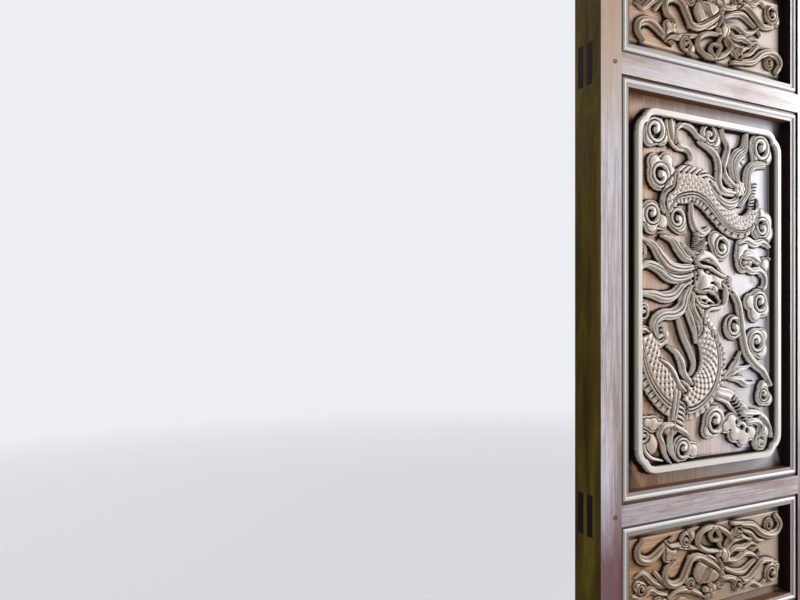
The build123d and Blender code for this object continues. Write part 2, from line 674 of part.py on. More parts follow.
def short_panel(foot, upside_down):
    """Short panel: plain-edged slab and ribbon carving."""
    width = SIGHT_WIDTH - 2 * SHORT_SLAB_MARGIN
    height = SHORT_OPENING - 2 * MOULDING - 2 * SHORT_SLAB_MARGIN
    slab = extrude(Pos(width / 2, height / 2) * Rectangle(width, height), amount=SHORT_FIELD_RISE)
    slab += ribbon_carving(width, height, upside_down)
    return board(SHORT_OPENING, foot) + on_ground(SHORT_SLAB_MARGIN, foot) * slab


for (panel_name, panel_size), panel_foot in zip(PANELS, opening_feet):
    if panel_name == "dragon_panel":
        nodes[panel_name] = tall_panel(panel_foot, dragon_carving)
    elif panel_name == "medallion_panel":
        nodes[panel_name] = tall_panel(panel_foot, medallion_carving)
    else:
        nodes[panel_name] = short_panel(panel_foot, panel_name == "middle_panel")


# Pegs that pin the tenons, one for each rail in each stile

leaf_pegs = []
for peg_z in peg_heights():
    for peg_x in (FREE_X + PEG_SETBACK, HINGE_X - PEG_SETBACK):
        leaf_pegs.append(peg(peg_x, FACE_Y - PEG_PROUD, BACK_Y, peg_z, PEG_RADIUS))
nodes["leaf_pegs"] = leaf_pegs


# Locking bar: a plate with a stud, three screws, and a bar with an eye for a padlock

BAR_X = FREE_X + BAR_SETBACK
BAR_Z = opening_feet[PANELS.index(("middle_panel", SHORT_OPENING))] + BAR_RISE
PLATE_BACK = BACK_Y + PLATE_THICKNESS
BAR_Y0 = PLATE_BACK + STUD_COLLAR + BAR_SIDE_GAP
BAR_Y1 = BAR_Y0 + BAR_THICKNESS
SCREW_ANGLES = (90, 210, 330)


def screw_places():
    """Centres of the three screws round the stud."""
    return [polar(BAR_X, BAR_Z, SCREW_CIRCLE, angle) for angle in SCREW_ANGLES]


def hasp_plate():
    """Round plate with three ears, and the riveted stud on which the bar turns."""
    body = rod_y(BAR_X, BACK_Y, PLATE_BACK, BAR_Z, PLATE_RADIUS)
    for x, z in screw_places():
        body += rod_y(x, BACK_Y, PLATE_BACK, z, EAR_RADIUS)
    body += rod_y(BAR_X, PLATE_BACK, PLATE_BACK + STUD_COLLAR, BAR_Z, STUD_COLLAR_RADIUS)
    body += rod_y(BAR_X, PLATE_BACK, BAR_Y1 + BAR_SIDE_GAP, BAR_Z, STUD_RADIUS)
    head = Cone(STUD_HEAD_RADIUS, STUD_HEAD_RADIUS - STUD_HEAD / 2, STUD_HEAD)
    body += Pos(BAR_X, BAR_Y1 + BAR_SIDE_GAP + STUD_HEAD / 2, BAR_Z) * Rot(-90, 0, 0) * head
    return body - [screw_shank(x, PLATE_BACK, z) for x, z in screw_places()]


def screw_shank(x, y, z):
    """Shank of a wood screw, and the hole that it makes."""
    return peg(x, y - SCREW_LENGTH, y, z, SCREW_RADIUS)


def wood_screw(x, y, z):
    """Low-headed screw driven into wood from the inside of the door."""
    head = Cone(SCREW_HEAD_RADIUS, SCREW_HEAD_RADIUS - SCREW_HEAD, SCREW_HEAD)
    return Pos(x, y + SCREW_HEAD / 2, z) * Rot(-90, 0, 0) * head + screw_shank(x, y, z)


def hasp_bar():
    """Flat bar that hangs from the stud, with an upright eye at its foot."""
    eye_z = BAR_Z - BAR_LENGTH
    bar_y = (BAR_Y0 + BAR_Y1) / 2
    body = rod_y(BAR_X, BAR_Y0, BAR_Y1, BAR_Z, BAR_END_RADIUS)
    body += block(BAR_X - BAR_WIDTH / 2, BAR_X + BAR_WIDTH / 2, BAR_Y0, BAR_Y1,
                  eye_z + 2 * EYE_RADIUS, BAR_Z)
    body += block(BAR_X - EYE_THICKNESS / 2, BAR_X + EYE_THICKNESS / 2, BAR_Y0, BAR_Y1,
                  eye_z + EYE_HOLE_RADIUS + EYE_ROOT, eye_z + 2 * EYE_RADIUS)
    across = Pos(BAR_X, bar_y, eye_z) * Rot(0, 90, 0)
    body += across * Cylinder(EYE_RADIUS, EYE_THICKNESS)
    body -= across * Cylinder(EYE_HOLE_RADIUS, EYE_THICKNESS)
    return body - rod_y(BAR_X, BAR_Y0, BAR_Y1, BAR_Z, STUD_RADIUS + STUD_CLEARANCE)


def catch_staple():
    """Plate on the lock post with a level eye, just above the bar's own eye when the bar is swung up."""
    eye_x = BAR_X - BAR_LENGTH
    eye_y = (BAR_Y0 + BAR_Y1) / 2
    eye_z = BAR_Z + EYE_THICKNESS + CATCH_GAP
    half = CATCH_PLATE_WIDTH / 2
    body = block(eye_x - half, eye_x + half, BACK_Y, PLATE_BACK,
                 eye_z - CATCH_PLATE_HEIGHT / 2, eye_z + CATCH_PLATE_HEIGHT / 2)
    body += block(eye_x - EYE_THICKNESS / 2, eye_x + EYE_THICKNESS / 2,
                  PLATE_BACK, eye_y - EYE_HOLE_RADIUS - EYE_ROOT,
                  eye_z - EYE_THICKNESS / 2, eye_z + EYE_THICKNESS / 2)
    body += Pos(eye_x, eye_y, eye_z) * Cylinder(EYE_RADIUS, EYE_THICKNESS)
    body -= Pos(eye_x, eye_y, eye_z) * Cylinder(EYE_HOLE_RADIUS, EYE_THICKNESS)
    return body - [screw_shank(eye_x, PLATE_BACK, z) for z in catch_screw_heights()]


def catch_screw_heights():
    """Heights of the catch's two screws."""
    eye_z = BAR_Z + EYE_THICKNESS + CATCH_GAP
    return [eye_z - CATCH_SCREW_SPACING / 2, eye_z + CATCH_SCREW_SPACING / 2]


plate_screws = [wood_screw(x, PLATE_BACK, z) for x, z in screw_places()]
catch_screws = [wood_screw(BAR_X - BAR_LENGTH, PLATE_BACK, z) for z in catch_screw_heights()]
nodes["hasp_plate"] = hasp_plate()
nodes["hasp_screws"] = plate_screws
nodes["hasp_bar"] = hasp_bar()
nodes["catch_staple"] = catch_staple()
nodes["catch_screws"] = catch_screws
nodes["lock_stile"] = nodes["lock_stile"] - plate_screws


# Frame: two rebated posts, a head with lugs, a high threshold and its pegs

STOP_Y = FACE_Y - STOP_GAP
TENON_Y = FRAME_TENON_THICKNESS / 2
THRESHOLD_STOP = RAIL_FOOT + STOP_OVERLAP
HEAD_STOP = RAIL_HEAD - STOP_OVERLAP


def post(side):
    """Rebated post; side is +1 for the hinge post and -1 for the lock post."""
    def across(x0, x1, y0, y1, z0, z1):
        return block(min(side * x0, side * x1), max(side * x0, side * x1), y0, y1, z0, z1)

    body = across(POST_X, OUTER_X, -BACK_Y, BACK_Y, 0, HEAD_FOOT)
    body += across(STOP_X, POST_X, -BACK_Y, STOP_Y, 0, HEAD_FOOT)
    body = chamfer(body.edges().filter_by(Axis.Z).group_by(Axis.Y)[0], FRAME_EASING)
    body += across(POST_X + FRAME_TENON_INSET, OUTER_X - FRAME_TENON_INSET, -TENON_Y, TENON_Y,
                   HEAD_FOOT, HEAD_TOP)
    body -= across(STOP_X, POST_X + THRESHOLD_TENON_LENGTH, -TENON_Y, TENON_Y,
                   THRESHOLD_TENON_INSET, THRESHOLD_HEIGHT - THRESHOLD_TENON_INSET)
    return body - frame_peg_rods(FRAME_PEG_RADIUS + PEG_CLEARANCE)


def frame_peg_places():
    """Two pegs through each of the frame's four joints."""
    places = []
    for side in (-1, 1):
        for share in FRAME_PEG_SHARES:
            places.append((side * (POST_X + POST_WIDTH * share), HEAD_FOOT + HEAD_HEIGHT / 2))
            span = THRESHOLD_HEIGHT - 2 * THRESHOLD_TENON_INSET
            peg_x = side * (POST_X + THRESHOLD_TENON_LENGTH / 2)
            places.append((peg_x, THRESHOLD_TENON_INSET + span * share))
    return places


def frame_peg_rods(radius):
    """The frame's pegs, or with a larger radius their holes."""
    return [peg(x, -BACK_Y, BACK_Y, z, radius) for x, z in frame_peg_places()]


def frame_head():
    """Head over both posts, rebated for the leaf, with the upper pivot's socket."""
    body = block(-OUTER_X - HEAD_LUG, OUTER_X + HEAD_LUG, -BACK_Y, BACK_Y, HEAD_FOOT, HEAD_TOP)
    body = chamfer(body.edges().filter_by(Axis.X), FRAME_EASING)
    body += block(-STOP_X, STOP_X, -BACK_Y + FRAME_EASING, STOP_Y, HEAD_STOP, HEAD_FOOT)
    for side in (-1, 1):
        x0 = side * (POST_X + FRAME_TENON_INSET)
        x1 = side * (OUTER_X - FRAME_TENON_INSET)
        body -= block(min(x0, x1), max(x0, x1), -TENON_Y, TENON_Y, HEAD_FOOT, HEAD_TOP)
    body -= rod_z(PIVOT_X, PIVOT_Y, HEAD_FOOT, STILE_HEAD + TOP_SOCKET_DEPTH, PIVOT_RADIUS + PIVOT_CLEARANCE)
    return body - frame_peg_rods(FRAME_PEG_RADIUS + PEG_CLEARANCE)


def threshold():
    """High threshold: a ledge under the leaf, an upstand that stops it, and the lower pivot's socket."""
    body = block(-POST_X, POST_X, STOP_Y, BACK_Y, 0, THRESHOLD_HEIGHT)
    body += block(-STOP_X, STOP_X, -BACK_Y + FRAME_EASING, STOP_Y, 0, THRESHOLD_STOP)
    body += block(-POST_X - THRESHOLD_TENON_LENGTH, POST_X + THRESHOLD_TENON_LENGTH, -TENON_Y, TENON_Y,
                  THRESHOLD_TENON_INSET, THRESHOLD_HEIGHT - THRESHOLD_TENON_INSET)
    socket_foot = STILE_FOOT - FOOT_PIVOT_LENGTH - PIVOT_END_GAP
    body -= rod_z(PIVOT_X, PIVOT_Y, socket_foot, THRESHOLD_HEIGHT, PIVOT_RADIUS + PIVOT_CLEARANCE)
    return body - frame_peg_rods(FRAME_PEG_RADIUS + PEG_CLEARANCE)


nodes["hinge_post"] = post(1)
nodes["lock_post"] = post(-1) - catch_screws
nodes["frame_head"] = frame_head()
nodes["threshold"] = threshold()
nodes["frame_pegs"] = frame_peg_rods(FRAME_PEG_RADIUS)

FRAME_NODES = ("hinge_post", "lock_post", "frame_head", "threshold", "frame_pegs",
               "catch_staple", "catch_screws")


# Each piece is written to its own file, the leaf's turned to where it stands open

os.makedirs("parts", exist_ok=True)
for node_name, shape in nodes.items():
    solids = shape if isinstance(shape, list) else [shape]
    if node_name not in FRAME_NODES:
        solids = [solid.rotate(pivot_axis, -OPEN_ANGLE) for solid in solids]
    whole = solids[0] if len(solids) == 1 else Compound(children=[s.solid() for s in solids])
    export_step(whole, f"parts/{node_name}.step")
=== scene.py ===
"""Carved temple door, dressed: one panelled leaf standing open in its own heavy frame."""
import json
from math import atan2, cos, pi, radians, sin
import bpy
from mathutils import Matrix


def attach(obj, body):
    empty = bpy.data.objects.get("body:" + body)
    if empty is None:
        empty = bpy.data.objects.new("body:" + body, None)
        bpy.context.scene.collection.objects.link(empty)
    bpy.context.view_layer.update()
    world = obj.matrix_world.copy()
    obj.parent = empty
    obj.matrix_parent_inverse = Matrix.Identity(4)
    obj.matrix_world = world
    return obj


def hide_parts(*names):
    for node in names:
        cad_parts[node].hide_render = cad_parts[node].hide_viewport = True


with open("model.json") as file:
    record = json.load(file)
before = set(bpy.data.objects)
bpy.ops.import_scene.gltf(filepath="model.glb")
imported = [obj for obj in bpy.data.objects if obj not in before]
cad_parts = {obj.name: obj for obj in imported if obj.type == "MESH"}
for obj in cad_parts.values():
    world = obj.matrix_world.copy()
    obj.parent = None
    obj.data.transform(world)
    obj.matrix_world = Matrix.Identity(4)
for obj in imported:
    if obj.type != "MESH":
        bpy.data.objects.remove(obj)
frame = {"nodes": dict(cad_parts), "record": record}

from types import SimpleNamespace

import bpy
import numpy as np

bpy.ops.object.select_all(action="DESELECT")
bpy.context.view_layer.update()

# Camera
# Stands indoors at waist height, level, and looks along the open leaf. The leaf's free edge comes first and
# its carved face runs away to the right, out of the picture.
CAMERA_PLACE = (-0.8085, 1.2311, 1.0009)
CAMERA_COURSE = (0.95475, -0.29743)
FOCAL_LENGTH = 29.25
SENSOR_WIDTH = 36
UPWARD_SHIFT = 0.0219
bpy.ops.object.camera_add(location=CAMERA_PLACE,
                          rotation=(pi / 2, 0, atan2(-CAMERA_COURSE[0], CAMERA_COURSE[1])))
camera = bpy.context.object
camera.data.lens = FOCAL_LENGTH
camera.data.sensor_width = SENSOR_WIDTH
camera.data.shift_y = UPWARD_SHIFT
bpy.context.scene.camera = camera

# Floor and light
# A pale plain floor and a white surround. Soft daylight comes from outdoors, through the doorway and across
# the carving, with a weaker light from indoors, where the camera stands.
FLOOR_COLOUR = (0.80, 0.79, 0.77, 1)
AMBIENT = {"Color": (0.86, 0.92, 1.0, 1), "Strength": 0.24}
SURROUND = {"Color": (0.93, 0.95, 1.0, 1), "Strength": 0.9}
CLEAR_FLOOR, PALE_FLOOR = 1.5, 6.0       # metres from the door


def wire(node, inputs):
    """Gives a node's inputs their values, or links them to the outputs given."""
    for socket, value in inputs.items():
        if isinstance(value, bpy.types.NodeSocket):
            node.id_data.links.new(value, node.inputs[socket])
        else:
            node.inputs[socket].default_value = value


def add_node(tree, kind, inputs=None, **settings):
    """New shader node with its settings and inputs."""
    node = tree.nodes.new("ShaderNode" + kind)
    for setting, value in settings.items():
        setattr(node, setting, value)
    wire(node, inputs or {})
    return node


def new_material(name):
    """Material, with its node tree and its shader."""
    material = bpy.data.materials.new(name)
    material.use_nodes = True
    return material, material.node_tree, material.node_tree.nodes["Principled BSDF"]


def between(value, low, high, to_low=0.0, to_high=1.0):
    """Value taken from one range to another and held at its ends."""
    return add_node(value.id_data, "MapRange", {"Value": value, "From Min": low, "From Max": high,
                                                "To Min": to_low, "To Max": to_high}).outputs["Result"]


def reckon(operation, *values):
    """Result of a sum."""
    return add_node(values[0].id_data, "Math", dict(enumerate(values)), operation=operation).outputs[0]


def seen_share(tree):
    """One for the camera, reflections and views through glass, none for light that falls on the door."""
    ray = add_node(tree, "LightPath").outputs
    seen = reckon("MAXIMUM", ray["Is Camera Ray"], ray["Is Glossy Ray"])
    return reckon("MAXIMUM", seen, ray["Is Transmission Ray"])


bpy.context.scene.view_settings.view_transform = "Standard"
bpy.ops.mesh.primitive_plane_add(size=160, location=(0, 0, -0.001))
floor = bpy.context.object
floor.name = "studio_floor"
bpy.ops.object.transform_apply(location=True, rotation=True, scale=True)
paint, tree, shade = new_material("floor_paint")
wire(shade, {"Base Color": FLOOR_COLOUR, "Roughness": 0.9, "Specular IOR Level": 0.1})
# where it is seen, the floor pales with the distance into the white surround
glow = add_node(tree, "Emission", SURROUND)
spot = add_node(tree, "TexCoord")
away = add_node(tree, "VectorMath", {0: spot.outputs["Object"]}, operation="LENGTH")
far = between(away.outputs["Value"], CLEAR_FLOOR, PALE_FLOOR, 0.45, 1.0)
share = reckon("MULTIPLY", seen_share(tree), far)
either = add_node(tree, "MixShader", {"Fac": share, 1: shade.outputs[0], 2: glow.outputs[0]})
wire(tree.nodes["Material Output"], {"Surface": either.outputs[0]})
floor.data.materials.append(paint)

world = bpy.data.worlds.new("studio")
bpy.context.scene.world = world
world.use_nodes = True
tree = world.node_tree
tree.nodes.clear()
ambient = add_node(tree, "Background", AMBIENT)
surround = add_node(tree, "Background", SURROUND)
either = add_node(tree, "MixShader", {"Fac": seen_share(tree), 1: ambient.outputs[0], 2: surround.outputs[0]})
add_node(tree, "OutputWorld", {"Surface": either.outputs[0]})


def soft_lamp(name, place, aim, size, power, colour):
    """Rectangular area lamp that faces a point."""
    bpy.ops.object.light_add(type="AREA", location=place)
    lamp = bpy.context.object
    lamp.name = name
    away = np.array(place) - np.array(aim)
    lamp.rotation_euler = (atan2(np.hypot(away[0], away[1]), away[2]), 0, atan2(away[1], away[0]) + pi / 2)
    lamp.data.shape = "RECTANGLE"
    lamp.data.size, lamp.data.size_y = size
    lamp.data.energy = power
    lamp.data.color = colour


soft_lamp("daylight", place=(-0.85, -2.95, 1.90), aim=(0.2, 0.3, 1.0), size=(1.0, 2.8), power=166,
          colour=(0.92, 0.96, 1.0))
soft_lamp("indoor_light", place=(-2.6, 2.2, 2.6), aim=(0.1, 0.2, 1.2), size=(2.5, 2.5), power=17,
          colour=(1.0, 0.96, 0.90))
soft_lamp("back_light", place=(2.4, 2.2, 2.8), aim=(0.2, 0.2, 1.2), size=(2.5, 2.5), power=34,
          colour=(1.0, 0.97, 0.92))
bpy.ops.object.select_all(action="DESELECT")

# Frame timbers: hinge_post, lock_post, frame_head, threshold
# Heavy hardwood members, planed and varnished red-brown long ago, tenoned together and pegged. The posts and
# the head carry the rebate that the leaf shuts against. Grain runs along each member.
FRAME_TONES = ((0.045, 0.012, 0.006), (0.115, 0.032, 0.014), (0.20, 0.068, 0.030))
OPEN_ANGLE = radians(81)
JOINTS = frame["record"]["behaviour"]["joints"]
PIVOT = next(joint["pos_m"] for joint in JOINTS if joint["name"] == "leaf_swing")


def noise(place, scale, detail=2.0, rough=0.5, warp=0.0):
    """Cloudy pattern, drawn out where its place is."""
    return add_node(place.id_data, "TexNoise", {"Vector": place, "Scale": scale, "Detail": detail,
                                                "Roughness": rough, "Distortion": warp}).outputs["Fac"]


def graded(value, stops, tones):
    """Colour that runs through tones, each reached at its stop."""
    ramp = add_node(value.id_data, "ValToRGB", {"Fac": value})
    elements = ramp.color_ramp.elements
    for stop in stops[1:-1]:
        elements.new(stop)
    for element, stop, tone in zip(elements, stops, tones):
        element.position = stop
        element.color = (*tone, 1)
    return ramp.outputs["Color"]


def mix(kind, share, one, two):
    """Colour one with a share of colour two. The share or colour one comes from a node."""
    tree = (one if isinstance(one, bpy.types.NodeSocket) else share).id_data
    one, two = [(*tone, 1) if isinstance(tone, tuple) else tone for tone in (one, two)]
    return add_node(tree, "Mix", {0: share, 6: one, 7: two}, data_type="RGBA", blend_type=kind).outputs[2]


def tinted(colour, value, span, most, tone):
    """Colour with a tone laid over it, from none at one end of a span of values to its most at the other."""
    return mix("MIX", between(value, *span, 0.0, most), colour, tone)


def bumped(heights, strength, distance):
    """Surface that follows the heights of a pattern."""
    return add_node(heights.id_data, "Bump", {"Height": heights, "Strength": strength,
                                              "Distance": distance}).outputs["Normal"]


def wood(name, tones, along, on_leaf=False, figure=1.0, gloss=0.34, sheen_streak=None):
    """Planed hardwood under varnish: long figure, fine fibres, pores and worn patches."""
    material, tree, skin = new_material(name)
    here = add_node(tree, "TexCoord")
    shut = add_node(tree, "Mapping", {"Vector": here.outputs["Object"]})
    if on_leaf:
        # the open leaf is turned back about its pivots, to where it stands when it is shut
        x, y = PIVOT[0], PIVOT[1]
        wire(shut, {"Rotation": (0, 0, OPEN_ANGLE),
                    "Location": (x - x * cos(OPEN_ANGLE) + y * sin(OPEN_ANGLE),
                                 y - x * sin(OPEN_ANGLE) - y * cos(OPEN_ANGLE), 0)})

    def grain(stretch, scale, detail, rough, warp=0.0):
        """Noise drawn out along the grain."""
        squeeze = [1 / stretch if axis == along else 1.0 for axis in "XYZ"]
        run = add_node(tree, "Mapping", {"Vector": shut.outputs["Vector"], "Scale": squeeze})
        return noise(run.outputs["Vector"], scale, detail, rough, warp)

    waves = grain(stretch=14.0, scale=26.0 * figure, detail=5.0, rough=0.6, warp=0.7)
    fibres = grain(stretch=40.0, scale=420.0, detail=2.0, rough=0.5)
    pores = grain(stretch=26.0, scale=900.0, detail=1.0, rough=0.4)
    patches = grain(stretch=2.5, scale=7.0, detail=6.0, rough=0.65)
    colour = graded(waves, (0.30, 0.50, 0.70), tones)
    for share, tone in ((between(fibres, 0.42, 0.62, 0.55, 0.0), (0.42, 0.33, 0.28)),
                        (between(pores, 0.62, 0.70, 0.0, 0.55), (0.20, 0.13, 0.10)),
                        (between(patches, 0.50, 0.72, 0.0, 0.6), (0.46, 0.38, 0.34))):
        colour = mix("MULTIPLY", share, colour, tone)
    # pale streaks along the grain; on the leaf they are a painted sheen
    if sheen_streak:
        streaks = grain(stretch=5.0, scale=9.0, detail=6.0, rough=0.7)
        colour = tinted(colour, streaks, (0.46, 0.66), 0.6, sheen_streak)
    wire(skin, {"Base Color": colour, "Coat Weight": 0.35, "Coat Roughness": 0.22,
                "Roughness": between(patches, 0.3, 0.7, gloss - 0.08, gloss + 0.16),
                "Normal": bumped(fibres, 0.22, 0.0006)})
    return SimpleNamespace(material=material, tree=tree, skin=skin, colour=colour, grain=grain,
                           shut=shut.outputs["Vector"], normal=here.outputs["Normal"])


def dress(material, *nodes):
    """Gives CAD nodes their finish."""
    for node in nodes:
        mesh = frame["nodes"][node].data
        mesh.materials.clear()
        mesh.materials.append(material)


upright = wood("frame_wood_upright", FRAME_TONES, "Z", figure=0.7).material
level = wood("frame_wood_level", FRAME_TONES, "X", figure=0.7).material
dress(upright, "hinge_post", "lock_post")
dress(level, "frame_head", "threshold")

# Frame pegs: frame_pegs
# Round hardwood pins driven right through the frame's mortise and tenon joints and cut off level.
# Their end grain is paler and drier than the varnished timber round it.
PEG_TONES = ((0.10, 0.040, 0.018), (0.20, 0.095, 0.045), (0.32, 0.17, 0.085))
peg_wood = wood("peg_end_grain", PEG_TONES, "Y", figure=6.0, gloss=0.55).material
dress(peg_wood, "frame_pegs")

# Stiles of the leaf: lock_stile, hinge_stile
# Full-height uprights of the same hardwood. Their carved side is painted pale with a sheen of daylight, their
# edges are dark olive brown and their backs darker still, with painted shade. Mortises for the rails' twin
# tenons show on the free edge.
# tones of the carved side, painted pale with the sheen of daylight
FACE_SHEEN_TONES = ((0.32, 0.215, 0.18), (0.62, 0.52, 0.52), (0.78, 0.73, 0.79))
EDGE_TONES = ((0.030, 0.019, 0.003), (0.092, 0.062, 0.008), (0.19, 0.135, 0.017))
# spans in metres on the shut leaf, each from where a tone starts to where it is full
WARM_TOP = (1.42, 1.66)
DARK_FOOT = (0.90, 0.74)
FACE_Y = 0.011
# depths that get a painted highlight (the beads) and painted shade (the quirks)
BEADS = (FACE_Y + 0.0002, FACE_Y + 0.0006)
QUIRKS = (FACE_Y + 0.0024, FACE_Y + 0.0036)
# depths of the moulding walls, which carry painted light and shade
WALLS = (FACE_Y + 0.030, FACE_Y + 0.022)
PAST_FREE_EDGE = (-0.288, -0.280)


def leaf_wood(name, along, wall_tone, toned, end_tone=None):
    """Wood of the leaf: the carved side painted pale with a sheen, cream beads with a painted highlight and
    dark quirks with painted shade, dark edges, and a back darkened with painted shade.
    """
    # pale bluish-white streaks along the grain: painted sheen
    timber = wood(name, FACE_SHEEN_TONES, along, on_leaf=True, gloss=0.36, sheen_streak=(0.80, 0.80, 0.92))
    tree = timber.tree
    place = add_node(tree, "SeparateXYZ", {"Vector": timber.shut}).outputs
    # carved side: painted pale with the sheen of daylight on its varnish, warmer towards the top, darker
    # towards the foot
    drift = timber.grain(stretch=4.0, scale=11.0, detail=5.0, rough=0.7)
    drift = reckon("MULTIPLY_ADD", drift, 0.34, place["Z"])
    face = tinted(timber.colour, drift, WARM_TOP, 0.78 * toned, (0.50, 0.31, 0.175))
    face = tinted(face, drift, DARK_FOOT, 0.90 * toned, (0.17, 0.060, 0.065))
    # its beads lie just under the face and get a painted highlight of cream; its quirks lie deeper and get
    # painted shade, near black
    face = tinted(face, place["Y"], BEADS, 0.88, (0.84, 0.80, 0.76))
    face = tinted(face, place["Y"], QUIRKS, 0.94, (0.055, 0.026, 0.014))
    # edges: olive brown, the walls of the mouldings painted with light and shade (near black on the stiles,
    # lit orange-brown on the rails), and darker ends on the tenons
    olive = timber.grain(stretch=10.0, scale=34.0, detail=6.0, rough=0.65, warp=0.6)
    olive = graded(olive, (0.30, 0.52, 0.72), EDGE_TONES)
    wall = tinted(olive, place["Y"], WALLS, 1.0, wall_tone)
    outer = tinted(end_tone or olive, place["X"], PAST_FREE_EDGE, 1.0, wall)
    # the back gets painted shade: darker and browner than the edges
    facing = add_node(tree, "VectorMath", {0: timber.normal, 1: (-sin(OPEN_ANGLE), -cos(OPEN_ANGLE), 0)},
                      operation="DOT_PRODUCT").outputs["Value"]
    outer = mix("MULTIPLY", between(facing, -0.3, -0.6), outer, (0.46, 0.30, 0.75))
    front = between(facing, 0.05, 0.45)
    wire(timber.skin, {"Base Color": mix("MIX", front, outer, face),
                       "Specular IOR Level": between(front, 0.0, 1.0, 0.03, 0.32),
                       "Coat Weight": between(front, 0.0, 1.0, 0.0, 0.08)})
    return timber.material


# the stiles' moulding walls are painted near black, as painted shade
stile_wood = leaf_wood("leaf_wood_upright", "Z", wall_tone=(0.022, 0.013, 0.012), toned=1.0)
dress(stile_wood, "lock_stile", "hinge_stile")

# Rails of the leaf: bottom_rail, lower_rail, lower_middle_rail, upper_middle_rail, upper_rail, top_rail
# Six cross pieces, moulded on the edges that meet a panel, each with twin tenons right through the stiles.
# The same wood as the stiles, with its grain across the leaf.
# the rails' moulding walls are painted a lit orange-brown, as painted light; the tenon ends are dark
rail_wood = leaf_wood("leaf_wood_level", "X", wall_tone=(0.17, 0.070, 0.030), toned=0.35,
                      end_tone=(0.012, 0.010, 0.006))
dress(rail_wood, "bottom_rail", "lower_rail", "lower_middle_rail", "upper_middle_rail", "upper_rail",
      "top_rail")

# Dragon panel: dragon_panel
# One board, tongued into the grooves of its frame. Its raised slab is carved in relief with a dragon among
# clouds, with painted shade dark in the hollows and painted highlights pale on the heights. Sizes are
# millimetres on the slab.
GROUND_Y = 33.0
SIGHT_WIDTH = 448.0
TONGUE = 9.0
BOARD = 14.0
TALL_SLAB = (398.0, 658.0)
TALL_MARGIN = 25.0
TALL_GROUND = 1.5
TALL_TRIANGLES = 185000
DRAGON_FOOT = 695.0
BORDER = 13.0
BORDER_RISE = 16.5
WORN_EDGE = 0.42                         # how far a worn edge is rounded
PANEL_TONES = ((0.44, 0.215, 0.090), (0.68, 0.385, 0.195), (0.80, 0.55, 0.34))
# near black: painted shade in the hollows
HOLLOW_SHADE = (0.010, 0.006, 0.005)
# painted sheen of daylight, growing across each carved panel towards the pivots
SHEEN_SIDE = (-0.16, 0.16)            # metres, towards the pivots


def held(values):
    """Values held between nothing and one."""
    return np.clip(values, 0, 1)


def new_field(size, ground):
    """Flat ground of a slab, as heights on a grid of one millimetre."""
    us = np.arange(0, size[0] + 0.5)
    vs = np.arange(0, size[1] + 0.5)
    return SimpleNamespace(u=us, v=vs, ground=ground, h=np.full((len(vs), len(us)), float(ground)))


def smooth_line(points):
    """Smooth line through a few points, in steps of about a millimetre."""
    p = np.array(points, float)
    p = np.vstack([2 * p[0] - p[1], p, 2 * p[-1] - p[-2]])
    out = []
    for a, b, c, d in zip(p[:-3], p[1:-2], p[2:-1], p[3:]):
        n = max(2, int(np.hypot(*(c - b))))
        t = np.arange(n)[:, None] / n
        out.append(0.5 * (2 * b + (c - a) * t + (2 * a - 5 * b + 4 * c - d) * t ** 2
                          + (3 * b - a - 3 * c + d) * t ** 3))
    out.append(p[-2][None])
    return np.vstack(out)


def window_at(field, low_u, high_u, low_v, high_v):
    """Part of the grid between two corners, with its places."""
    u0, u1 = max(0, int(low_u)), min(len(field.u), int(high_u) + 2)
    v0, v1 = max(0, int(low_v)), min(len(field.v), int(high_v) + 2)
    return (slice(v0, v1), slice(u0, u1)), *np.meshgrid(field.u[u0:u1], field.v[v0:v1])


def near_line(field, points, reach):
    """For the grid near a smooth line: how far off, across and along it, and how far past its ends."""
    line = smooth_line(points)
    window, gu, gv = window_at(field, line[:, 0].min() - reach, line[:, 0].max() + reach,
                               line[:, 1].min() - reach, line[:, 1].max() + reach)
    best = np.full(gu.shape, 1e9)
    index = np.zeros(gu.shape, int)
    for k, (a, b) in enumerate(line):
        d = (gu - a) ** 2 + (gv - b) ** 2
        closer = d < best
        best[closer] = d[closer]
        index[closer] = k
    course = np.gradient(line, axis=0)
    course /= np.hypot(course[:, 0], course[:, 1])[:, None] + 1e-9
    du, dv = gu - line[index, 0], gv - line[index, 1]
    run = np.concatenate([[0], np.cumsum(np.hypot(*np.diff(line, axis=0).T))])
    return SimpleNamespace(window=window, off=np.sqrt(best), share=run[index] / run[-1], run=run[index],
                           across=course[index, 0] * dv - course[index, 1] * du,
                           past=np.abs(course[index, 0] * du + course[index, 1] * dv))


def taper(share, widths):
    """Width at each share of a line's length."""
    return np.interp(share, np.linspace(0, 1, len(widths)), widths)


def set_in(field, window, height, inside, off, rise, gap=2.2, depth=6.0):
    """Raises a form, with a channel cut round it where it crosses other work."""
    h = field.h[window]
    channel = (~inside) & (off < gap)
    bed = np.maximum(field.ground, rise - depth + depth * (off / gap) ** 2 * 0.6)
    h[channel] = np.minimum(h[channel], bed[channel])
    h[inside] = height[inside]


def lock(field, points, widths, rise, grooves=1, gap=2.2, low=0.40, depth=3.0):
    """Tapered strand with a rounded back and lines cut along it."""
    near = near_line(field, points, max(widths) / 2 + gap + 1)
    half = np.maximum(taper(near.share, widths) / 2, 0.3)
    r = near.off / half
    height = rise * (low + (1 - low) * np.sqrt(held(1 - r ** 2)))
    if grooves:
        x = near.across / half
        lines = (0.5 + 0.5 * np.cos(np.pi * (x * (grooves + 1) + grooves))) ** 2
        height = height - depth * lines * held(half / 4) * (np.abs(x) < 0.92)
    set_in(field, near.window, np.maximum(height, field.ground + 0.3), r <= 1, near.off - half, rise, gap)


def cut(field, points, widths, depth, low=None, power=0.5):
    """Groove or hollow cut into what is there, down to a lowest height."""
    near = near_line(field, points, max(widths) / 2 + 1)
    r = near.off / np.maximum(taper(near.share, widths) / 2, 0.2)
    h = field.h[near.window]
    lowest = field.ground if low is None else low
    h[...] = np.where(r < 1, np.maximum(h - depth * held(1 - r ** 2) ** power, lowest), h)


